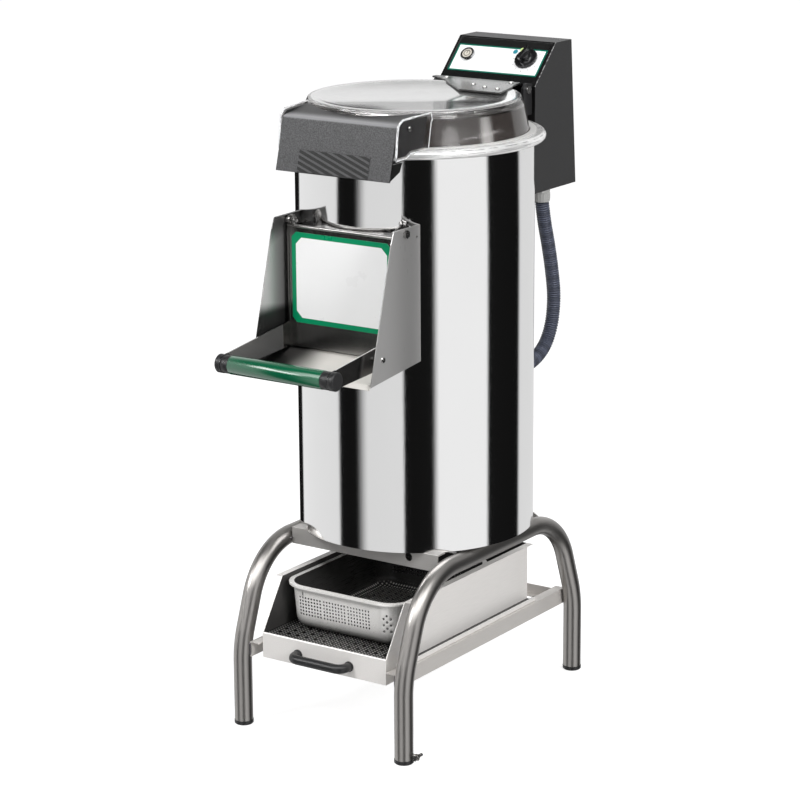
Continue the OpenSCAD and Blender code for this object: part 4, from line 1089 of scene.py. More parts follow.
class Look:
    """Every finish of the machine."""

    MIRROR = MirrorSteel("mirror_polished_steel", (0.9, 0.9, 0.9))
    TUBE = TubeSteel("satin_tube", (0.4, 0.385, 0.37), rough=0.3, grain=(1.0, 30.0, 1.0),
                     place=Place.LENGTHS, metal=0.9)
    SHEET_UP = BrushedSteel("sheet_ground_upright", (0.5, 0.49, 0.475), rough=0.24, grain=(30.0, 30.0, 0.8))
    SHEET_LONG = BrushedSteel("sheet_ground_lengthwise", (0.74, 0.71, 0.68), rough=0.36,
                              grain=(30.0, 0.8, 30.0), metal=0.35)
    RIM = RimSteel("rolled_rim", (0.92, 0.92, 0.915), rough=0.24, grain=(9.0, 9.0, 9.0), metal=0.45)
    NECK = EdgedSteel("neck_polished", (0.17, 0.165, 0.16), rough=0.16, grain=(9.0, 9.0, 3.0), depth=0.00002)
    FLOOR = FloorSteel("chute_floor_polished", (0.62, 0.6, 0.565), rough=0.34, grain=(0.8, 30.0, 30.0),
                       metal=0.1)
    SIEVE = SieveSteel("fine_sieve", (0.2, 0.2, 0.2), rough=0.4, metal=0.5)
    SHEET_WIDE = BrushedSteel("sheet_ground_across", (0.56, 0.545, 0.53), rough=0.36, grain=(0.8, 30.0, 30.0),
                              metal=0.6)
    BOLT = Bolt("bright_bolt", (0.62, 0.61, 0.6))
    CHROME = Bolt("bezel_chrome_ring", (0.75, 0.75, 0.76), rough=0.16)
    WELD = Weld("weld_seam", (0.09, 0.085, 0.09))
    BLACK = Moulding("black_nylon", (0.016, 0.016, 0.017), rough=0.38)
    BLACK_COAT = PowderCoat("black_coat", (0.02, 0.02, 0.021), rough=0.45)
    BOX = BoxCoat("charcoal_coat", (0.029, 0.029, 0.0297), rough=0.5)
    CLEAR = ClearMoulding("clear_polycarbonate", (0.8, 0.79, 0.785))
    RIB = PowderCoat("grip_rib", (0.08, 0.08, 0.082), rough=0.42, grain=620.0)
    SILICONE = Moulding("pale_silicone", (0.62, 0.62, 0.61), rough=0.35)
    KNOB = Moulding("glossy_black_knob", (0.006, 0.006, 0.0065), rough=0.2, depth=0.00002, gloss=0.6)
    FROST = Frosted("frosted_edge", (0.85, 0.86, 0.87))
    GREEN = Moulding("green_sleeve", (0.0, 0.1, 0.042), rough=0.2, grain=500.0, depth=0.00002, gloss=1.0)
    NYLON = Moulding("light_grey_nylon", (0.42, 0.42, 0.41), rough=0.42)
    GREY = Moulding("grey_housing", (0.12, 0.12, 0.13), rough=0.42)
    HOSE = Corrugated("ribbed_hose", (0.075, 0.084, 0.12))
    SEAL = Rubber("black_seal", (0.018, 0.018, 0.018))
    BRASS = Brass("turned_brass", (0.6, 0.40, 0.13))
    CAST = CastMetal("cast_housing", (0.2, 0.2, 0.21), shine=0.3)
    MOTOR = CastMetal("motor_casing_paint", (0.10, 0.12, 0.15))
    LINER = Grit("wall_grit", (0.085, 0.078, 0.07))
    DISC = Grit("disc_grit", (0.10, 0.09, 0.078), grain=300.0)


# ---------------------------------------------------------------- mesh writing


@dataclass
class Skin:
    """A mesh while it is being written, with two lengths in metres for each face corner."""

    points: list[Vector] = field(default_factory=list)
    faces: list[tuple[int, ...]] = field(default_factory=list)
    lengths: list[list[Pair]] = field(default_factory=list)

    def grid(self, rows: Sequence[Sequence[Vector]], round_rows: bool = False, round_columns: bool = True,
             keep: Callable[[int, int], bool] | None = None) -> list[list[int]]:
        """Adds rows of points and the faces between them.

        Args:
            rows: the rows, all of one length.
            round_rows: whether the last row joins the first.
            round_columns: whether each row closes on itself.
            keep: says which faces are made, by row and column.

        Returns:
            The point numbers of each row.
        """
        start = len(self.points)
        width = len(rows[0])
        for row in rows:
            self.points.extend(row)
        number = [[start + i * width + j for j in range(width)] for i in range(len(rows))]
        along = [0.0]
        for before, after in zip(rows, [*rows[1:], rows[0]]):
            along.append(along[-1] + (after[0] - before[0]).length)
        wide = [0.0]
        middle = rows[len(rows) // 2]
        for before, after in zip(middle, [*middle[1:], middle[0]]):
            wide.append(wide[-1] + (after - before).length)
        for i in range(len(rows) - (0 if round_rows else 1)):
            for j in range(width - (0 if round_columns else 1)):
                if keep is not None and not keep(i, j):
                    continue
                i2, j2 = (i + 1) % len(rows), (j + 1) % width
                self.faces.append((number[i][j], number[i][j2], number[i2][j2], number[i2][j]))
                self.lengths.append([(along[i], wide[j]), (along[i], wide[j + 1]),
                                     (along[i + 1], wide[j + 1]), (along[i + 1], wide[j])])
        return number

    def rod(self, rings: Sequence[Sequence[Vector]]) -> None:
        """Adds rings of points and closes the first and the last.

        Args:
            rings: the rings, from one end to the other.
        """
        number = self.grid(rings)
        self.cap(number[0])
        self.cap(list(reversed(number[-1])))

    def block(self, rows: Sequence[Sequence[Vector]]) -> None:
        """Adds rows that stand round an axis and closes both ends.

        Args:
            rows: the rows, each from one end to the other.
        """
        number = self.grid(rows, round_rows=True, round_columns=False)
        self.cap([row[0] for row in number])
        self.cap([row[-1] for row in reversed(number)])

    def cap(self, ring: Sequence[int]) -> None:
        """Closes a ring of points with one face."""
        self.faces.append(tuple(ring))
        self.lengths.append([(self.points[p].x, self.points[p].y) for p in ring])

    def prism(self, outline: Sequence[Vector], along: Vector) -> None:
        """Adds a closed block between an outline and its copy moved along a vector.

        Args:
            outline: the points of one end.
            along: the way to the other end, in metres.
        """
        number = self.grid([list(outline), [p + along for p in outline]])
        self.cap(list(reversed(number[0])))
        self.cap(number[1])

    def mesh(self, name: str) -> bpy.types.Mesh:
        """The points and faces as a mesh.

        Args:
            name: the mesh's name.

        Returns:
            The mesh.
        """
        made = bpy.data.meshes.new(name)
        made.from_pydata([tuple(p) for p in self.points], [], self.faces)
        return made

    def build(self, name: str, body: str, finish: Finish, slot: str, sharp: float = 35.0) -> bpy.types.Object:
        """Turns the mesh into a piece.

        Args:
            name: the piece's name.
            body: the body that it rides on.
            finish: its finish.
            slot: the record's slot for its finish; not used.
            sharp: edges over this angle in degrees stay sharp.

        Returns:
            The piece.
        """
        mesh = self.mesh(name)
        layer = mesh.uv_layers.new(name="lengths")
        for face, corners in zip(mesh.polygons, self.lengths):
            for loop, corner in zip(face.loop_indices, corners):
                layer.data[loop].uv = corner
        turn_out(mesh)
        return place_piece(mesh, name, body, finish, sharp)


def turn_out(mesh: bpy.types.Mesh, merge: float = 0.0) -> None:
    """Turns a mesh's faces outwards, after joining points that lie closer than a distance in metres.

    Args:
        mesh: the mesh.
        merge: the distance.
    """
    work = bmesh.new()
    work.from_mesh(mesh)
    if merge:
        bmesh.ops.remove_doubles(work, verts=work.verts, dist=merge)
    bmesh.ops.recalc_face_normals(work, faces=work.faces)
    work.to_mesh(mesh)
    work.free()


def new_object(name: str, data: bpy.types.ID) -> bpy.types.Object:
    """Makes an object of its data and puts it into the scene.

    Args:
        name: the object's name.
        data: a mesh, a light or a camera.

    Returns:
        The object.
    """
    made = bpy.data.objects.new(name, data)
    bpy.context.scene.collection.objects.link(made)
    return made


def cover_with(mesh: bpy.types.Mesh, finish: Finish, sharp: float | None) -> None:
    """Gives a mesh one finish, and smooth faces with sharp edges over an angle in degrees.

    Args:
        mesh: the mesh.
        finish: the finish.
        sharp: the angle, or None where the faces stay as they are.
    """
    mesh.materials.clear()
    mesh.materials.append(finish.material())
    if sharp is not None:
        mesh.shade_smooth()
        mesh.set_sharp_from_angle(angle=math.radians(sharp))


def place_piece(mesh: bpy.types.Mesh, name: str, body: str, finish: Finish,
                sharp: float) -> bpy.types.Object:
    """Makes an object of a mesh, gives it its finish and lets it ride on its body.

    Args:
        mesh: the mesh.
        name: the piece's name.
        body: the body that it rides on.
        finish: its finish.
        sharp: edges over this angle in degrees stay sharp.

    Returns:
        The piece.
    """
    cover_with(mesh, finish, sharp)
    piece = new_object(name, mesh)
    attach(piece, body)
    LOG.info("piece %s on %s, %d faces", name, body, len(mesh.polygons))
    return piece


def at(x: float, y: float, z: float) -> Vector:
    """A point given in the drawing's millimetres, as metres from the origin."""
    return Vector((x * MM, (y + SEAT_SHIFT) * MM, z * MM))


def shift(x: float, y: float, z: float) -> Vector:
    """A distance given in millimetres, in metres."""
    return Vector((x * MM, y * MM, z * MM))


def turned(profile: Line, segments: int, place: Callable[[float, float, float], Vector],
           radius: Callable[[float, float], float] = lambda r, turn: r) -> list[list[Vector]]:
    """Turns a profile round a middle line.

    Args:
        profile: radius and height of each point, in mm.
        segments: how many rows.
        place: puts a point, given from the middle line, in space.
        radius: the radius at a point, from the profile's radius and the turn in radians.

    Returns:
        The rows of points.
    """
    rows = []
    for i in range(segments):
        turn = 2 * math.pi * i / segments
        rows.append([place(radius(r, turn) * math.cos(turn), radius(r, turn) * math.sin(turn), z)
                     for r, z in profile])
    return rows


def upright(centre_y: float) -> Callable[[float, float, float], Vector]:
    """Places points round an upright axis at a distance along Y."""
    return lambda x, y, z: at(x, centre_y + y, z)


def circle(radius: float, count: int) -> list[Pair]:
    """Evenly spaced points of a circle."""
    turns = [2 * math.pi * i / count for i in range(count)]
    return [(radius * math.cos(turn), radius * math.sin(turn)) for turn in turns]


def arc(centre: Pair, radius: float, start: float, end: float, count: int) -> list[Pair]:
    """Points of an arc between two angles in degrees, one more than its count of steps."""
    turns = [math.radians(start + (end - start) * i / count) for i in range(count + 1)]
    return [(centre[0] + radius * math.cos(turn), centre[1] + radius * math.sin(turn)) for turn in turns]


def swept(path: Sequence[Vector], radius: Callable[[int], float] | float, sides: int,
          side: Vector = Vector((1, 0, 0))) -> list[list[Vector]]:
    """Rings of a round section carried along a path without twist.

    Args:
        path: the middle line.
        radius: the radius, or the radius at each point, in metres.
        sides: points in a ring.
        side: where the first point of a ring lies.

    Returns:
        The rings.
    """
    rings = []
    u = side.normalized()
    for i, point in enumerate(path):
        heading = (path[min(i + 1, len(path) - 1)] - path[max(i - 1, 0)]).normalized()
        u = (u - heading * u.dot(heading)).normalized()
        v = heading.cross(u)
        r = radius(i) if callable(radius) else radius
        rings.append([
            point + (u * math.cos(2 * math.pi * k / sides) + v * math.sin(2 * math.pi * k / sides)) * r
            for k in range(sides)
        ])
    return rings


def even(path: Sequence[Vector], step: float) -> list[Vector]:
    """Points at even distances along a path.

    Args:
        path: the points that the path runs through.
        step: the distance from point to point, in metres.

    Returns:
        The even points, from the path's start.
    """
    lengths = [0.0]
    for a, b in zip(path, path[1:]):
        lengths.append(lengths[-1] + (b - a).length)
    points, i = [], 0
    for k in range(int(lengths[-1] / step) + 1):
        target = k * step
        while i < len(lengths) - 2 and lengths[i + 1] < target:
            i += 1
        share = (target - lengths[i]) / max(lengths[i + 1] - lengths[i], 1e-9)
        points.append(path[i].lerp(path[i + 1], share))
    return points


def clipped(outline: Sequence[Vector], side: Vector, limit: float) -> list[Vector]:
    """The part of a convex outline whose points reach no further than a limit along a direction.

    Args:
        outline: its points.
        side: the direction.
        limit: the limit.

    Returns:
        The points of what is left.
    """
    kept = []
    for a, b in zip(outline, [*outline[1:], outline[0]]):
        over_a, over_b = a.dot(side) - limit, b.dot(side) - limit
        if over_a <= 0:
            kept.append(a)
        if over_a * over_b < 0:
            kept.append(a.lerp(b, over_a / (over_a - over_b)))
    return kept


def soften(piece: bpy.types.Object, width: float) -> None:
    """Rounds a piece's edges, which sheet and mouldings always have, without touching its own mesh.

    Args:
        piece: the piece.
        width: width of the rounding, in metres.
    """
    weld = piece.modifiers.new("weld", "WELD")
    weld.merge_threshold = 0.00001
    bevel = piece.modifiers.new("edges", "BEVEL")
    bevel.width = width
    bevel.segments = SOFT_STEPS
    bevel.limit_method = "ANGLE"
    bevel.angle_limit = math.radians(SOFT_ANGLE)
    bevel.harden_normals = True
    bevel.use_clamp_overlap = True


def dress(node: str, finish: Finish, edge: float = 0.0) -> None:
    """Gives a carried-over node its finish and, if asked, rounded edges.

    Args:
        node: the node's name.
        finish: its finish.
        edge: width of the rounding, in metres.
    """
    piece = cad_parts[node]
    if not piece.data.materials:
        piece.data.materials.append(finish.material())
    for index in range(len(piece.data.materials)):
        piece.data.materials[index] = finish.material()
    if edge:
        soften(piece, edge)
    LOG.info("node %s in %s", node, finish.label)


class Join(Enum):
    """How a helper changes a piece."""

    UNITE = "UNION"
    CUT = "DIFFERENCE"


def join(base: bpy.types.Object, how: Join, tool: bpy.types.Object) -> None:
    """Adds one union or cut with another object.

    Args:
        base: the object that changes.
        how: union or cut.
        tool: the other object.
    """
    step = base.modifiers.new(how.value, "BOOLEAN")
    step.operation = how.value
    step.solver = "EXACT"
    step.object = tool


def combine(base: bpy.types.Object, tools: Sequence[tuple[Join, bpy.types.Object]]) -> None:
    """Unites or cuts a piece with helper objects, writes the result into its mesh and removes the helpers.

    Args:
        base: the piece.
        tools: the helpers in order, each with how it works.
    """
    for how, tool in tools:
        join(base, how, tool)
    bpy.context.view_layer.update()
    graph = bpy.context.evaluated_depsgraph_get()
    mesh = bpy.data.meshes.new_from_object(base.evaluated_get(graph))
    base.modifiers.clear()
    old = base.data
    base.data = mesh
    bpy.data.meshes.remove(old)
    for _, tool in tools:
        bpy.data.objects.remove(tool)


def helper(skin: Skin, name: str) -> bpy.types.Object:
    """A plain object for one cut or union.

    Args:
        skin: its shape.
        name: its name.

    Returns:
        The object.
    """
    mesh = skin.mesh(name)
    turn_out(mesh)
    return new_object(name, mesh)


# ---------------------------------------------------------------- the machine


@dataclass
class Stand:
    """Two bent tubes, their caps, cross plates, rails and the bonding bolt."""

    tube_r: float = 16.85
    half_x: float = 176.5
    half_y: float = 287.0
    cap_h: float = 8.0
    leg_h: float = 120.0
    lower_r: float = 180.0
    lean: float = 20.0
    slant: float = 60.0
    upper_r: float = 128.0
    rail_seam: Pair = (134.0, 158.0)
    plate_y: Pair = (-150.0, 186.0)
    plate_z: float = 322.0
    seam_half: float = 10.0
    seam_gap: float = 0.2
    sides: int = 48
    bead: float = 0.0016
    bead_swell: float = 0.0011
    bead_wobble: float = 0.0003
    beads: int = 14
    bead_sides: int = 10
    bead_seed: int = 7

    def build(self) -> None:
        """Makes the tubes and their welds and dresses the rest."""
        for side, node in ((-1, "left_frame_tube"), (1, "right_frame_tube")):
            self._tube(side, node)
        dress("foot_caps", Look.BLACK, 0.0008)
        for node in ("front_cross_plate", "rear_cross_plate"):
            dress(node, Look.SHEET_WIDE, 0.0006)
        dress("drawer_rails", Look.SHEET_LONG, 0.0006)
        dress("bonding_lug", Look.SHEET_UP, 0.0004)
        for node in ("bonding_bolt", "drum_bolts"):
            dress(node, Look.BOLT)
        self._welds()

    def _half_path(self) -> list[Pair]:
        """Middle line of the tube from the rear foot to the middle of the top, as Y and Z.

        Returns:
            The points, in mm.
        """
        lean = math.radians(self.lean)
        path = [(self.half_y, self.cap_h), (self.half_y, self.leg_h * 0.5)]
        path += arc((self.half_y - self.lower_r, self.leg_h), self.lower_r, 0, self.lean, 14)
        y, z = path[-1]
        y, z = y - self.slant * math.sin(lean), z + self.slant * math.cos(lean)
        centre = (y - self.upper_r * math.cos(lean), z - self.upper_r * math.sin(lean))
        path += arc(centre, self.upper_r, self.lean, 90, 30)
        return path

    def _tube(self, side: int, node: str) -> None:
        """One bent tube, swept in one piece.

        Args:
            side: -1 for left, 1 for right.
            node: the node that it stands for.
        """
        half = self._half_path()
        outline = half + [(-y, z) for y, z in reversed(half)]
        path = [at(side * self.half_x, y, z) for y, z in outline]
        skin = Skin()
        skin.rod(swept(path, self.tube_r * MM, self.sides))
        name = f"bent_tube_{'right' if side > 0 else 'left'}"
        piece = skin.build(name, "machine", Look.TUBE, "stand_steel")
        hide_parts(node)

    def _seams(self) -> list[tuple[Vector, Vector]]:
        """Both ends of each weld: upright at the rails' ends, level at the cross plates.

        Returns:
            The ends of each weld.
        """
        places = []
        half = self.seam_half
        for side in (-1, 1):
            x = side * (self.half_x - self.tube_r - self.seam_gap)
            for y in (-self.half_y, self.half_y):
                places.append((at(x, y, self.rail_seam[0]), at(x, y, self.rail_seam[1])))
            for y in self.plate_y:
                places.append((at(x, y - half, self.plate_z), at(x, y + half, self.plate_z)))
        return places

    def _welds(self) -> None:
        """Short seams where rails and cross plates meet the tubes."""
        skin = Skin()
        wobble = random.Random(self.bead_seed)
        for low, high in self._seams():
            shares = [i / self.beads for i in range(self.beads + 1)]
            radii = [self.bead + self.bead_swell * math.sin(math.pi * share) ** 0.5
                     + wobble.uniform(-self.bead_wobble, self.bead_wobble) for share in shares]
            path = [low.lerp(high, share) for share in shares]
            skin.rod(swept(path, lambda i, radii=radii: radii[i], self.bead_sides, Vector((1, 0, 0.01))))
        skin.build("weld_seams", "machine", Look.WELD, "stand_steel", 80)


@dataclass
class Drum:
    """The polished drum with its rolled rim, and what is inside it."""

    radius: float = 215.0
    wall: float = 2.0
    axis_y: float = 18.0
    foot_z: float = 342.517
    rim_z: float = 1058.517
    rim_half: float = 8.0
    rim_out: float = 19.5
    rim_below: float = 0.5
    lip_r: float = 209.5
    lip_round: float = 1.0
    fillet: float = 3.0
    mouth_half: float = 98.0
    mouth_low: float = 704.017
    mouth_high: float = 900.017
    segments: int = 288

    def build(self) -> None:
        """Makes the shell and dresses the inner pieces."""
        self._shell()
        dress("base_plate", Look.SHEET_WIDE)
        dress("chamber_floor", Look.SHEET_WIDE)
        dress("abrasive_liner", Look.LINER)
        dress("waste_pipe", Look.SHEET_UP)
        dress("water_inlet", Look.BRASS, 0.0004)
        dress("abrasive_disc", Look.DISC)

    def _profile(self) -> list[Pair]:
        """Closed outline of wall and rim, as radius and height.

        Returns:
            The points, in mm.
        """
        roll = (self.radius + self.rim_out - self.rim_half, self.rim_z)
        inner = self.radius - self.wall
        under, top = self.rim_z - self.rim_half, self.rim_z + self.rim_half
        outline = [(self.radius, self.foot_z), (self.radius, self.mouth_low), (self.radius, self.mouth_high)]
        outline += arc((self.radius + self.fillet, under - self.fillet), self.fillet, 180, 90, 5)
        outline += arc(roll, self.rim_half, -90, 90, 22)
        outline += arc((self.lip_r + self.lip_round, top - self.lip_round), self.lip_round, 90, 180, 4)
        outline += [(self.lip_r, top - 2.0), (inner + 1.0, top - 2.4), (inner, top - 4.0)]
        outline += [(inner, self.mouth_high), (inner, self.mouth_low), (inner, self.foot_z)]
        return outline

    def _shell(self) -> None:
        """Wall and rim in one turned sheet, open at the mouth of the chute."""
        profile = self._profile()
        rows = turned(profile, self.segments, upright(self.axis_y))
        last = len(profile)
        outer = (1, 2)
        inner = (last - 3, last - 2)

        def open_here(i: int) -> bool:
            """Whether the strip between two columns lies in the mouth."""
            middle = 2 * math.pi * (i + 0.5) / self.segments
            return math.sin(middle) < 0 and abs(math.cos(middle)) * self.radius < self.mouth_half

        def keep(i: int, j: int) -> bool:
            """Leaves out the strips of the mouth on both faces of the wall."""
            return not (open_here(i) and j in (outer[0], inner[0]))

        skin = Skin()
        number = skin.grid(rows, round_rows=True, round_columns=True, keep=keep)
        for i in range(self.segments):
            j = (i + 1) % self.segments
            if open_here(i):
                for a, b in ((outer[0], inner[1]), (outer[1], inner[0])):
                    self._quad(skin, number[i][a], number[j][a], number[j][b], number[i][b])
            if open_here(i) != open_here(j):
                self._quad(skin, *(number[j][k] for k in (*outer, *inner)))
        piece = skin.build("polished_drum", "machine", Look.MIRROR, "mirror_steel", 40)
        piece.data.materials.append(Look.RIM.material())
        under = (self.rim_z - self.rim_half - self.rim_below) * MM
        for face in piece.data.polygons:
            if face.center.z > under:
                face.material_index = 1
        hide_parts("drum_shell", "drum_rim")

    @staticmethod
    def _quad(skin: Skin, *corners: int) -> None:
        """One face of the mouth's edge."""
        skin.faces.append(corners)
        skin.lengths.append([(0.0, 0.0)] * 4)


@dataclass
class Chute:
    """Neck, cheeks and floor of the chute, and the door with its handle."""

    edge: float = 0.0004
    border: float = 0.009
    label_cut: float = 0.0171

    def build(self) -> None:
        """Dresses the chute and the door."""
        dress("chute_neck", Look.NECK, 0.0005)
        low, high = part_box("chute_cheeks")
        dress("chute_cheeks", CheekSteel(
            "cheek_satin", (0.55, 0.545, 0.54), rough=0.3, grain=(20.0, 20.0, 1.0), metal=0.55, depth=0.00001,
            contrast=0.05, ends=(low.y, high.y),
        ), self.edge)
        dress("chute_floor", Look.FLOOR, 0.0003)
        for node in ("chute_screws", "door_pivots"):
            dress(node, Look.BOLT, 0.0003)
        self._door()

    def _door(self) -> None:
        """Dresses the door, its label and its handle."""
        grip = sum(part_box("handle_tube"), Vector()) / 2
        dress("door_panel", ArmSteel(
            "door_sheet_ground", (0.44, 0.43, 0.42), rough=0.2, grain=(30.0, 30.0, 0.8), hub=(grip.y, grip.z),
        ), self.edge)
        dress("door_gasket", Look.SEAL)
        dress("handle_tube", Look.TUBE)
        dress("handle_sleeve", Look.GREEN, 0.0008)
        dress("handle_caps", Look.BLACK, 0.0008)
        low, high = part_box("door_label")
        dress("door_label", Film(
            "door_label_film", (0.93, 0.93, 0.93), half=((high.x - low.x) / 2, (high.z - low.z) / 2),
            centre=tuple((low + high) / 2), border=self.border, cut=self.label_cut,
        ))


@dataclass
class Lid:
    """Clear dome with flared ears, gasket, front cover and hinge leaf."""

    base_r: float = 207.0
    top_r: float = 190.5
    rim_z: float = 1058.517
    rise: float = 70.0
    wall: float = 3.5
    shoulder_drop: float = 15.0
    shoulder_out: float = 6.0
    dish: float = 3.0
    axis_y: float = 18.0
    segments: int = 160
    cover_half: float = 120.0
    cover_foot_y: float = -237.0
    cover_t: float = 3.0
    cover_edge_y: float = -214.0
    cover_edge_drop: float = 14.3
    cover_drop: float = 38.5
    cover_round: float = 7.0
    cover_depth: float = 100.0
    cover_slope: float = 13.3 / 79
    dome_gap: float = 6.5
    dome_low: float = 35.0
    cut_reach: float = 40.0
    corner_turn: float = 17.0
    corner_at: Pair = (16.0, 46.0)
    flare_left: float = 1.0
    flare_right: float = 10.0
    ear_back: float = 13.0
    ear_t: float = 3.0
    trim_r: Pair = (1.3, 2.0)
    trim_steps: int = 4
    trim_inset: float = 0.6
    trim_front: tuple[int, int] = (20, 2)
    flange_t: float = 1.2
    grip_half: float = 75.0
    grip_low: float = 2.0
    grip_h: float = 38.0
    rib_pitch: float = 10.0
    rib_fall: float = 20.0
    rib_half: float = 1.8
    rib_root: float = -0.4
    rib_h: float = 1.7
    ribs: int = 10

    # outlines beside the cover, as distance behind the ear's front edge and height:
    # the points of the first line stand over the rim, those of the second over the lid's top
    ear_low: Line = ((4, -3), (28, -1), (38, 6), (82, 8))
    ear_high: Line = ((90, -17), (93, -12), (91, 1), (21, -4), (13, -9), (9, -14))
    trim_low: Line = ((3.2, -3), (28, -1), (38, 6), (82, 8))
    trim_high: Line = ((89, -17), (92, -12), (90, 0), (56, -2), (21, -5), (13, -10), (9, -15), (6, -34))
    flange_low: Line = ((8, 1), (27, 3), (38, 10), (70, 12))
    flange_high: Line = ((80, -14), (82, -5), (24, -8), (17, -12), (13, -17))
    # the cover's turned-in lips, from its foot, and the tabs of its screws, from the screw
    lip: Line = ((0.5, 1), (32, 14), (40, 30), (10, 30))
    tab: Line = ((-9, -9), (8, -9), (8, 2.5), (-3, 2.5), (-9, 0.8))
    screw: Pair = (-189.0, 1107.517)
    corner: Line = ((-20, 0), (20, 0), (20, 120), (-20, 120))

    @property
    def top(self) -> float:
        """Height of the lid's top."""
        return self.rim_z + self.rise

    @property
    def foot_z(self) -> float:
        """Height of the cover's foot."""
        return self.rim_z - self.cover_drop

    @property
    def lean(self) -> float:
        """How far the cover's front leans back, in radians."""
        return math.atan((self.cover_edge_y - self.cover_foot_y)
                         / (self.rise - self.cover_edge_drop + self.cover_drop))

    def build(self) -> None:
        """Makes the clear moulding and the cover and dresses the rest."""
        self._dome()
        dress("lid_gasket", Look.SILICONE)
        self._cover()
        self._grip()
        self._ear_trim()
        dress("lid_screws", Look.BOLT)
        dress("hinge_leaf", LeafSteel(
            "hinge_leaf_satin", (0.2, 0.197, 0.195), rough=0.2, grain=(9.0, 9.0, 9.0), metal=0.7,
            rear=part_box("hinge_leaf")[1].y,
        ), 0.0005)
        dress("hinge_pin", Look.BOLT)
        dress("hinge_ears", Look.BLACK_COAT, 0.0008)

    def _outline(self) -> list[Pair]:
        """Closed section of the dome, as radius and height.

        Returns:
            The points, in mm.
        """
        top, r, t = self.top, self.top_r, self.wall
        shoulder, dish = top - self.shoulder_drop, top - self.dish
        out = r + self.shoulder_out
        outer = [(self.base_r, self.rim_z), (out, shoulder)]
        outer += arc((r + 2.6, shoulder + 1.2), 3.4, -8, 62, 4)[1:]
        outer += arc((r - 3.5, top - 4.0), 4.0, 20, 90, 6)
        outer += [(r - 20, top), (r - 28, dish), (0.0, dish)]
        inner = [(0.0, dish - t), (r - 29, dish - t), (r - 21, top - t)]
        inner += arc((r - 4.6, top - t - 3.5), 3.5, 90, 20, 4)
        inner += [(r + 1.2, shoulder + 3.2), (out - t, shoulder - 0.6), (self.base_r - t, self.rim_z)]
        return outer + inner

    def _dome(self) -> None:
        """Turned dome with its two ears joined on."""
        skin = Skin()
        skin.grid(turned(self._outline(), self.segments, upright(self.axis_y)), round_rows=True)
        piece = skin.build("clear_dome", "lid", Look.CLEAR, "clear_plastic", 50)
        turn_out(piece.data, 1e-6)
        hollow = helper(self._hollow(), "lid_hollow")
        ears = []
        for side in (-1, 1):
            ear = Skin()
            ring, out = self._beside(side, self.ear_low, self.ear_high)
            ear.prism(ring, out * self.ear_t * MM)
            ears.append((Join.UNITE, helper(ear, "lid_ear")))
            join(ears[-1][1], Join.CUT, hollow)
        combine(piece, ears)
        bpy.data.objects.remove(hollow)
        cover_with(piece.data, Look.CLEAR, 40)
        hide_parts("lid_dome")

    def _hollow(self) -> Skin:
        """The space that the dome shuts in, less half its wall.

        Returns:
            Its shape.
        """
        half = self.wall / 2
        profile = [(self.base_r - half, self.rim_z - self.cut_reach), (self.base_r - half, self.rim_z),
                   (self.top_r + self.shoulder_out - half, self.top - self.shoulder_drop),
                   (self.top_r - 1, self.top - half)]
        skin = Skin()
        skin.block(turned(profile, self.segments, upright(self.axis_y)))
        return skin

    def _beside(self, side: int, low: Line, high: Line, gap: float = 0.3) -> tuple[list[Vector], Vector]:
        """Puts an outline in the flared plane of one ear.

        Args:
            side: -1 for left, 1 for right.
            low: its points over the rim, as distance behind the ear's front edge and height, in mm.
            high: its points over the lid's top.
            gap: distance of the plane from the cover's end, in mm.

        Returns:
            The points and the plane's outward direction.
        """
        flare = self.flare_right if side > 0 else self.flare_left
        turn = Matrix.Rotation(math.radians(-flare * side), 4, "Z")
        base = at(side * (self.cover_half + gap), self.cover_foot_y + self.ear_back, 0)
        outline = [(y, self.rim_z + z) for y, z in low] + [(y, self.top + z) for y, z in high]
        return [base + turn @ shift(0, y, z) for y, z in outline], turn @ Vector((side, 0, 0))

    def _ear_trim(self) -> None:
        """Frosted cut edges round the ears, thicker in front, and the cover's flanges behind them, black as
        painted shade.
        """
        trim, flange = Skin(), Skin()
        thin, thick = self.trim_r
        last, first = self.trim_front
        steps = self.trim_steps
        for side in (-1, 1):
            ring, out = self._beside(side, self.trim_low, self.trim_high)
            path = [a.lerp(b, i / steps) + out * (self.ear_t - self.trim_inset) * MM
                    for a, b in zip(ring, [*ring[1:], ring[0]]) for i in range(steps)]
            radii = [(thick if i > len(path) - last or i < first else thin) * MM for i in range(len(path))]
            trim.grid(swept(path, lambda i, radii=radii: radii[i], 8, out), round_rows=True)
            ring, out = self._beside(side, self.flange_low, self.flange_high, -0.1)
            flange.prism(ring, out * -self.flange_t * MM)
        trim.build("frosted_ear_edges", "lid", Look.FROST, "clear_plastic", 60)
        # the flanges are black as painted shade on the cover's ends
        flange.build("cover_flanges_painted_shade", "lid", Look.BLACK_COAT, "dark_plastic")

    def _section(self) -> list[Pair]:
        """Closed section of the cover's sheet, as Y and height.

        Returns:
            The points, in mm.
        """
        foot_y, foot_z, t = self.cover_foot_y, self.foot_z, self.cover_t
        edge_z = self.top - self.cover_edge_drop
        middle = (self.cover_edge_y + self.cover_round * 1.1, edge_z - self.cover_round)
        turns = (180 - math.degrees(self.lean), 90 + math.degrees(math.atan(self.cover_slope)), 9)
        outer = arc(middle, self.cover_round, *turns)
        inner = arc(middle, self.cover_round - t, *turns)
        back, back_z = self.cover_edge_y + self.cover_depth, edge_z + self.cover_depth * self.cover_slope
        return [(foot_y, foot_z), *outer, (back, back_z), (back, back_z - t), *reversed(inner),
                (foot_y + t, foot_z)]

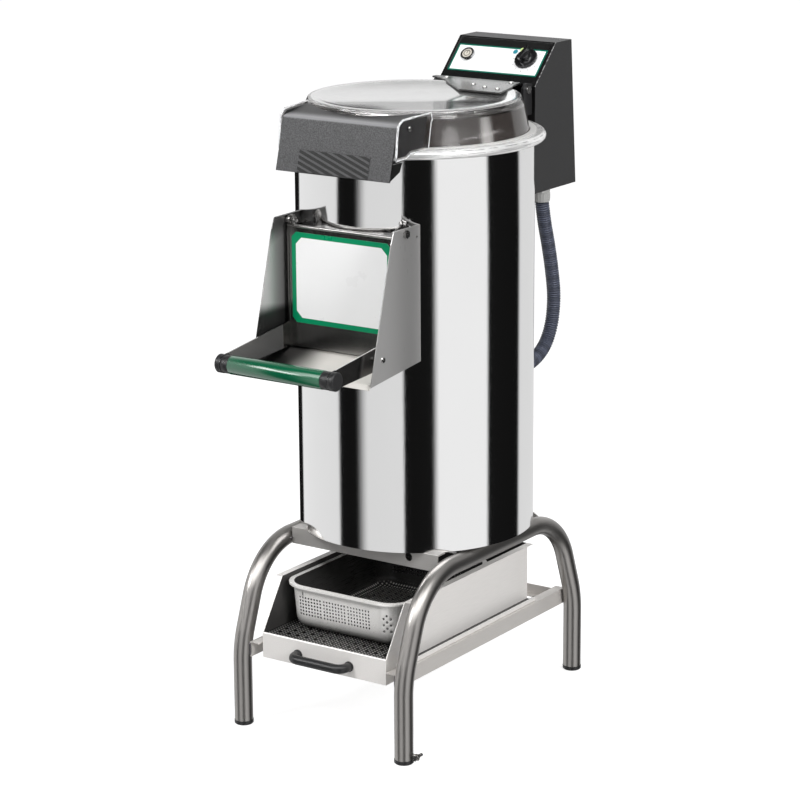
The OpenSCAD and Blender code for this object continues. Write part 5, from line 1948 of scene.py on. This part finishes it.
    def _side_forms(self, side: int) -> list[tuple[Join, bpy.types.Object]]:
        """The lip and the screw's tab at one end of the cover, and the cut of its rear corner.

        Args:
            side: -1 for left, 1 for right.

        Returns:
            The helper objects in order, each with how it works.
        """
        forms = []
        for outline, (y0, z0) in ((self.lip, (self.cover_foot_y, self.foot_z)), (self.tab, self.screw)):
            part = Skin()
            ring = [at(side * self.cover_half, y0 + y, z0 + z) for y, z in outline]
            part.prism(ring, shift(-side * self.cover_t, 0, 0))
            forms.append((Join.UNITE, helper(part, "cover_side")))
        turn = Matrix.Rotation(math.radians(-self.corner_turn * side), 4, "Z")
        out, back = self.corner_at
        base = at(side * (self.cover_half + out), self.cover_edge_y + back, self.top - self.cut_reach)
        corner = Skin()
        corner.prism([base + turn @ shift(x, y, 0) for x, y in self.corner], shift(0, 0, 2 * self.cut_reach))
        return [*forms, (Join.CUT, helper(corner, "cover_corner"))]

    def _cover(self) -> None:
        """The front cover with its rounded edge, cut to the dome."""
        sheet = Skin()
        half = self.cover_half
        sheet.prism([at(-half, y, z) for y, z in self._section()], shift(2 * half, 0, 0))
        finish = GripCoat("grained_cover", (0.062, 0.062, 0.064), rough=0.42, grain=620.0,
                          foot_z=self.foot_z * MM, lean=self.lean)
        piece = sheet.build("front_cover", "lid", finish, "dark_plastic")
        radius = self.top_r + self.dome_gap
        profile = [(radius, self.top - self.dome_low), (radius, self.top + self.cut_reach)]
        dome = Skin()
        dome.block(turned(profile, self.segments, upright(self.axis_y)))
        combine(piece, [*self._side_forms(-1), *self._side_forms(1), (Join.CUT, helper(dome, "cover_dome"))])
        cover_with(piece.data, finish, 30)
        soften(piece, 0.0008)
        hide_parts("lid_cover")

    def _front(self, x: float, rise: float, out: float) -> Vector:
        """A point of the cover's front face by its distance from the middle, up the face and out of it."""
        sine, cosine = math.sin(self.lean), math.cos(self.lean)
        return at(x, self.cover_foot_y + rise * sine - out * cosine, self.foot_z + rise * cosine + out * sine)

    def _grip(self) -> None:
        """The ribs of the cover's grip, which slant across its field."""
        grip = Skin()
        fall = math.radians(self.rib_fall)
        normal = Vector((math.sin(fall), math.cos(fall)))
        half, low, high = self.grip_half, self.grip_low, self.grip_low + self.grip_h
        grip_field = [Vector(p) for p in ((-half, low), (half, low), (half, high), (-half, high))]
        for i in range(self.ribs):
            level = (i - (self.ribs - 1) / 2) * self.rib_pitch * math.cos(fall)
            centre = Vector((0, (low + high) / 2)).dot(normal) + level
            rib = clipped(grip_field, normal, centre + self.rib_half)
            rib = clipped(rib, -normal, self.rib_half - centre)
            if len(rib) > 2:
                grip.prism([self._front(p.x, p.y, self.rib_root) for p in rib],
                           self._front(0, 0, self.rib_h) - self._front(0, 0, 0))
        soften(grip.build("grip_ribs", "lid", Look.RIB, "dark_plastic"), 0.0006)


@dataclass
class ControlBox:
    """The sloping control box with its label, button, dial, glands and hose."""

    # the hose's way from the gland under the box to the back of the drum, in the drawing's mm
    route: tuple[Triple, ...] = (
        (82, 321, 895.6), (82, 324, 881), (82, 332, 849), (82, 345, 808), (82, 358, 758), (82, 366, 708),
        (81, 362, 660), (80, 345, 624), (79, 318, 602), (77, 285, 590), (75, 255, 585), (75, 234, 584),
    )
    slope_y: float = 268.0
    slope_z: float = 1132.352
    film_half: float = 96.5
    film_low: float = 9.1
    film_high: float = 82.4
    film_t: float = 0.9
    proud: float = 0.06
    field_low: float = 5.2
    field_high: float = 66.8
    button_x: float = -68.0
    knob_x: float = 60.0
    knob_up: float = 43.0
    holes: Pair = (12.0, 5.0)
    hole_reach: float = 3.0
    flutes: int = 18
    flute: float = 0.9
    body_r: float = 20.0
    wing_turn: float = -14.0
    wing_root: float = 5.0
    wing_h: float = 16.4
    nut_top: float = 922.0
    nut_r: float = 17.0
    nut_h: float = 7.9
    nut_low: float = 8.0
    nut_ribs: int = 16
    nut_rib: float = 0.5
    hose_r: float = 13.4
    groove: float = 1.7
    pitch: float = 5.0
    pitch_steps: int = 6
    route_steps: int = 24
    hose_sides: int = 28

    # the knob's skirt and body, as radius and height over the slope, and its wing, seen from above
    knob: Line = ((0.0, 0.4), (21.6, 0.4), (22.4, 1.2), (22.4, 3.9), (21.4, 5.0), (13.0, 5.6), (10.6, 7.6),
                  (9.6, 13.5), (8.8, 14.6), (0.0, 14.6))
    wing: Line = ((-3.2, -13.5), (3.2, -13.5), (3.8, 0), (3.4, 14), (1.6, 17.6), (-1.6, 17.6), (-3.4, 14),
                  (-3.8, 0))
    # the ribbed clamping nut, as radius and height over its hexagon's top
    clamp: Line = ((13.0, -7.8), (14.8, -8.2), (15.2, -17.0), (14.4, -24.0), (13.2, -26.4), (12.6, -26.4))

    def build(self) -> None:
        """Dresses the box and makes the hose."""
        dress("box_shell", Look.BOX, 0.0012)
        dress("box_rear_cover", Look.BOX, 0.0004)
        dress("box_bracket", Look.BLACK_COAT, 0.0005)
        dress("box_screws", Look.BOLT)
        self._label()
        dress("button_housing", Look.CHROME, 0.0004)
        low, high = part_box("start_button")
        dress("start_button", ButtonFace("pale_button", (0.7, 0.66, 0.58), rough=0.25,
                                         centre=tuple((low + high) / 2)), 0.0005)
        self._knob()
        self._gland_nut()
        dress("timer_body", Look.BLACK, 0.0005)
        dress("contactor", Look.GREY, 0.0005)
        dress("cable_glands", Look.NYLON, 0.0005)
        self._hose()

    def _slope(self, x: float, up: float, out: float) -> Vector:
        """A point over the sloping panel, by its place along it and its height over it, in mm."""
        share = math.sqrt(0.5)
        return at(x, self.slope_y + (up - out) * share, self.slope_z + (up + out) * share)

    def _over(self, height: float) -> Vector:
        """The way up from the slope by a height in mm."""
        return self._slope(0, 0, height) - self._slope(0, 0, 0)

    def _label(self) -> None:
        """The film on the slope: black above, below it a white field with a border and the dial's ticks."""
        section = [(self.field_low, 0.0), (self.field_low, self.proud), (self.film_high, self.proud),
                   (self.film_high, -self.film_t), (self.film_low, -self.film_t), (self.film_low, 0.0)]
        skin = Skin()
        skin.prism([self._slope(-self.film_half, up, out) for up, out in section],
                   shift(2 * self.film_half, 0, 0))
        middle = (self.field_low + self.field_high) / 2
        finish = Film(
            "control_label_film", (0.97, 0.975, 0.975), edge=(0.0, 0.13, 0.085),
            half=(self.film_half * MM, (self.field_high - self.field_low) / 2 * MM),
            centre=tuple(self._slope(0, middle, 0)), lean=math.radians(45), border=0.003, cut=0.0,
            dial=(self.knob_x * MM, (self.knob_up - middle) * MM), ground=(0.006, 0.006, 0.006),
        )
        piece = skin.build("control_film", "machine", finish, "white_label", 20)
        holes = []
        for x, radius in zip((self.button_x, self.knob_x), self.holes):
            hole = Skin()
            ring = [self._slope(x + dx, self.knob_up + dy, -self.hole_reach) for dx, dy in circle(radius, 32)]
            hole.prism(ring, self._over(2 * self.hole_reach))
            holes.append((Join.CUT, helper(hole, "film_hole")))
        combine(piece, holes)
        cover_with(piece.data, finish, None)
        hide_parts("control_label")

    def _knob(self) -> None:
        """Timer knob: fluted skirt, narrow body and a wing that points up the slope."""
        def fluted(r: float, turn: float) -> float:
            """The skirt's radius dips at each flute; the body's is even."""
            return r - self.flute * max(0.0, math.cos(self.flutes * turn)) ** 2 if r > self.body_r else r

        def place(x: float, y: float, height: float) -> Vector:
            """A point round the knob's middle."""
            return self._slope(self.knob_x + x, self.knob_up + y, height)

        skin = Skin()
        skin.grid(turned(self.knob, self.flutes * 8, place, fluted), round_rows=True, round_columns=False)
        turn = math.radians(self.wing_turn)
        ring = [place(x * math.cos(turn) - y * math.sin(turn), x * math.sin(turn) + y * math.cos(turn),
                      self.wing_root) for x, y in self.wing]
        skin.prism(ring, self._over(self.wing_h))
        piece = skin.build("wing_knob", "timer_knob", Look.KNOB, "black_plastic", 40)
        soften(piece, 0.0007)
        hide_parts("timer_knob")

    def _gland_nut(self) -> None:
        """Hexagon nut and ribbed clamping nut over the hose's gland."""
        x0, y0, _ = self.route[0]
        skin = Skin()
        flats = [at(x0 + x, y0 + y, self.nut_top - self.nut_low) for x, y in circle(self.nut_r, 6)]
        skin.prism(flats, shift(0, 0, self.nut_h))
        rows = turned(
            self.clamp, self.nut_ribs * 6, lambda x, y, z: at(x0 + x, y0 + y, self.nut_top + z),
            lambda r, turn: r + self.nut_rib * max(0.0, math.cos(self.nut_ribs * turn)),
        )
        skin.grid(rows, round_rows=True, round_columns=False)
        soften(skin.build("gland_nuts", "machine", Look.NYLON, "light_plastic", 30), 0.0005)

    def _hose(self) -> None:
        """Ribbed hose along the route, one crest and one groove to each pitch."""
        route = [at(*p) for p in self.route]
        path = [p for i in range(len(route) - 1) for p in self._span(route, i, self.route_steps)]
        path.append(route[-1])

        def radius(k: int) -> float:
            """Crest and groove of the hose."""
            wave = 0.5 + 0.5 * math.cos(2 * math.pi * k / self.pitch_steps)
            return (self.hose_r - self.groove * (1 - wave ** 0.7)) * MM

        skin = Skin()
        skin.rod(swept(even(path, self.pitch * MM / self.pitch_steps), radius, self.hose_sides))
        piece = skin.build("ribbed_hose", "machine", Look.HOSE, "conduit_plastic", 80)
        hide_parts("conduit")

    @staticmethod
    def _span(points: list[Vector], i: int, count: int) -> list[Vector]:
        """Points of a smooth curve between two points of the route.

        Args:
            points: the route.
            i: the first of the two points.
            count: how many points the stretch gets.

        Returns:
            The points, without the last one.
        """
        a, b = points[max(i - 1, 0)], points[i]
        c, d = points[i + 1], points[min(i + 2, len(points) - 1)]
        span = []
        for k in range(count):
            t = k / count
            span.append((b * 2 + (c - a) * t + (a * 2 - b * 5 + c * 4 - d) * t ** 2
                         + (b * 3 - a - c * 3 + d) * t ** 3) * 0.5)
        return span


@dataclass
class Drawer:
    """The drawer with its perforated floor, pan and bow handle."""

    # how much colour the painted shade inside the trays keeps, and the height of the painted shade at the
    # pan's foot
    painted_shade: float = 0.05
    pan_fade: float = 0.042

    def build(self) -> None:
        """Dresses the drawer."""
        for node, colour, rough, fade, holes in (
            ("drawer_box", (0.9, 0.875, 0.85), 0.36, 0.0, False),
            ("gn_pan", (0.92, 0.905, 0.88), 0.28, self.pan_fade, True),
        ):
            low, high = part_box(node)
            dress(node, TraySteel(
                f"{node}_sheet", colour, rough=rough, grain=(30.0, 0.8, 30.0), metal=0.15, low=tuple(low),
                high=tuple(high), painted_shade=self.painted_shade, fade=fade, holes=holes,
            ), 0.0003)
        dress("filter_floor", Look.SIEVE)
        dress("drawer_handle", Look.BLACK, 0.0006)


@dataclass
class Drive:
    """Shaft, bearings, pulleys, belt and motor under the chamber."""

    edge: float = 0.0005

    def build(self) -> None:
        """Dresses the drive."""
        for node, finish, edge in (
            ("bearing_housing", Look.CAST, self.edge), ("shaft_bearings", Look.BOLT, 0.0),
            ("shaft_seal", Look.SEAL, 0.0), ("motor_plate", Look.SHEET_WIDE, 0.0),
            ("motor", Look.MOTOR, 0.0006), ("drive_belt", Look.SEAL, 0.0),
            ("drive_shaft", Look.BOLT, self.edge), ("driven_pulley", Look.CAST, self.edge),
            ("motor_pulley", Look.CAST, self.edge),
        ):
            dress(node, finish, edge)


# ---------------------------------------------------------------- the studio


@dataclass(frozen=True)
class SoftBox:
    """A patch of light that only the steel mirrors."""

    middle: float
    reach: Pair
    rise: Pair
    fall: Pair
    level: float

    def write(self, turn: Sock, height: Sock) -> Sock:
        """Its light in a direction."""
        band = height.step(*self.rise) * (1 - height.step(*self.fall))
        return band * (1 - abs(turn - self.middle).step(*self.reach)) * self.level


@dataclass
class Studio:
    """Camera, floor, soft lamps and the surroundings that the steel mirrors."""

    eye: Triple = (2.7936, -4.11765, 1.8865)
    yaw: float = 34.33
    pitch: float = 14.79
    roll: float = -0.38
    focal: float = 2825.69
    frame_px: float = 800.0
    floor_half: float = 30.0
    aim: Triple = (0.0, 0.0, 0.65)
    # each lamp's name, place, size in metres and power in watts
    lamps: tuple[tuple[str, Triple, float, float], ...] = (
        ("key", (-1.2, -3.0, 3.4), 1.2, 95.0),
        ("side", (3.4, -1.2, 2.0), 1.2, 84.0),
        ("top", (0.6, 0.8, 3.6), 1.0, 26.0),
    )

    # what the steel mirrors, by direction: the turn to the right of the camera, in degrees, and the height
    # of a ray, from 0 at the horizon to 1 straight up; first the plain light, as the turn's share of a full
    # round and its level
    compass: Line = ((0.0, 0.75), (0.10, 0.86), (0.25, 0.80), (0.36, 0.75), (0.46, 0.77), (0.55, 0.93),
                     (0.72, 0.93), (0.83, 0.76), (1.0, 0.75))
    # black flags, as the first and last turn and how soft each end is
    flags: tuple[tuple[float, float, float, float], ...] = (
        (-185.0, -148.0, 1.0, 2.0), (-80.5, -54.0, 2.0, 7.0), (-12.0, 18.7, 1.0, 4.0),
        (73.5, 119.0, 2.0, 3.0),
    )
    flag_black: float = 0.992
    # the bare backdrop behind the machine, and the end of the flags overhead
    bare_turn: Pair = (138.0, 148.0)
    bare_height: Pair = (0.03, 0.09)
    bare_level: float = 0.84
    head_height: Pair = (0.30, 0.62)
    head_turn: float = -100.0
    head_reach: Pair = (30.0, 60.0)
    head_levels: Pair = (0.05, 0.35)
    # a wide soft box in front of the machine and a narrow one on its left, as the middle turn, where the
    # light ends beside it, the heights where it begins and where it ends, and its level
    soft_boxes: tuple[SoftBox, ...] = (
        SoftBox(-10.0, (50.0, 75.0), (0.5, 0.6), (0.88, 0.94), 3.4),
        SoftBox(-77.0, (12.0, 22.0), (0.36, 0.42), (0.54, 0.60), 9.0),
    )

    def build(self) -> None:
        """Sets up everything that isn't part of the machine."""
        self._camera()
        self._world()
        self._floor()
        self._lamps()
        view = bpy.context.scene.view_settings
        view.view_transform = "Standard"

    def _axes(self) -> tuple[Vector, Vector, Vector]:
        """Right, up and forward of the camera.

        Returns:
            The three directions.
        """
        yaw, pitch, roll = (math.radians(a) for a in (self.yaw, self.pitch, self.roll))
        level = math.cos(pitch)
        forward = Vector((-math.sin(yaw) * level, math.cos(yaw) * level, -math.sin(pitch)))
        right = Vector((math.cos(yaw), math.sin(yaw), 0))
        up = right.cross(forward)
        return (right * math.cos(roll) + up * math.sin(roll), up * math.cos(roll) - right * math.sin(roll),
                forward)

    def _camera(self) -> None:
        """The camera, with its lens worked out from the focal length in pixels."""
        right, up, forward = self._axes()
        data = bpy.data.cameras.new("view")
        data.sensor_width = 36.0
        data.lens = self.focal / self.frame_px * data.sensor_width
        data.clip_end = 100.0
        camera = new_object("view", data)
        turn = Matrix((right, up, -forward)).transposed().to_4x4()
        camera.matrix_world = Matrix.Translation(self.eye) @ turn
        bpy.context.scene.camera = camera

    def _world(self) -> None:
        """Surroundings by direction: black flags and pale gaps for what mirrors, plain light for the rest."""
        world = bpy.data.worlds.new("surroundings")
        bpy.context.scene.world = world
        world.use_nodes = True
        g = Graph(world.node_tree)
        x, y, z = g.axes(Place.DIRECTION)
        yaw = math.radians(self.yaw)
        front = x * math.sin(yaw) - y * math.cos(yaw)
        side = x * math.cos(yaw) + y * math.sin(yaw)
        turn = g.math("ARCTAN2", side, front) * (180 / math.pi)
        level = self._mirrored(g, turn, z)
        camera = g.node("ShaderNodeLightPath", out="Is Camera Ray")
        glossy, through = camera.other("Is Glossy Ray"), camera.other("Is Transmission Ray")
        plain = 0.5 * (1 - glossy) + level * glossy
        white = camera.most(through * (1 - glossy))
        strength = plain * (1 - white) + white
        shader = g.node("ShaderNodeBackground", None, {"Color": (1.0, 1.0, 1.0), "Strength": strength})
        g.show(shader, "ShaderNodeOutputWorld")

    def _mirrored(self, g: Graph, turn: Sock, height: Sock) -> Sock:
        """The level of what the steel mirrors in a direction.

        Args:
            g: the world's node tree.
            turn: the direction's turn from the camera, in degrees.
            height: its height, from -1 to 1.

        Returns:
            The level.
        """
        stops = tuple((share, grey(level)) for share, level in self.compass)
        light = g.node("ShaderNodeValToRGB", {"stops": stops}, {0: (turn + 180) / 360})
        level = g.node("ShaderNodeRGBToBW", None, {0: light})
        for start, end, soft_in, soft_out in self.flags:
            low = turn.step(start - soft_in, start + soft_in)
            high = 1 - turn.step(end - soft_out, end + soft_out)
            level = level * (1 - low * high * self.flag_black)
        bare = abs(turn).step(*self.bare_turn) * height.step(*self.bare_height)
        level = level * (1 - bare) + bare * self.bare_level
        head = height.step(*self.head_height)
        dark, more = self.head_levels
        level = level * (1 - head) + (abs(turn - self.head_turn).step(*self.head_reach) * more + dark) * head
        for soft_box in self.soft_boxes:
            level = level + soft_box.write(turn, height)
        return level

    def _floor(self) -> None:
        """A pale floor that keeps the machine's shadow and stays out of the mirror's sight."""
        half = self.floor_half
        mesh = bpy.data.meshes.new("floor")
        mesh.from_pydata([(-half, -half, 0), (half, -half, 0), (half, half, 0), (-half, half, 0)], [],
                         [(0, 1, 2, 3)])
        floor = new_object("floor", mesh)
        material = bpy.data.materials.new("studio_floor")
        material.use_nodes = True
        g = Graph(material.node_tree)
        camera = g.node("ShaderNodeLightPath", out="Is Camera Ray")
        shader = g.surface(Base_Color=grey(0.42), Roughness=1.0, Specular_IOR_Level=0.0,
                           Emission_Color=grey(1.0), Emission_Strength=camera * 0.8)
        g.show(shader)
        mesh.materials.append(material)
        floor.visible_glossy = False

    def _lamps(self) -> None:
        """Three soft lamps, which the steel doesn't mirror."""
        for name, place, size, power in self.lamps:
            data = bpy.data.lights.new(name, "AREA")
            data.shape = "DISK"
            data.size = size
            data.energy = power
            lamp = new_object(name, data)
            lamp.location = place
            lamp.rotation_euler = (Vector(self.aim) - Vector(place)).to_track_quat("-Z", "Y").to_euler()
            lamp.visible_glossy = False


def main() -> None:
    """Builds the studio and the machine in order."""
    logging.basicConfig(level=logging.INFO, format="%(name)s: %(message)s")
    Studio().build()
    for part in (Stand(), Drum(), Chute(), Lid(), ControlBox(), Drawer(), Drive()):
        LOG.info("sub-assembly %s", type(part).__name__)
        part.build()


if __name__ == "__main__":
    main()
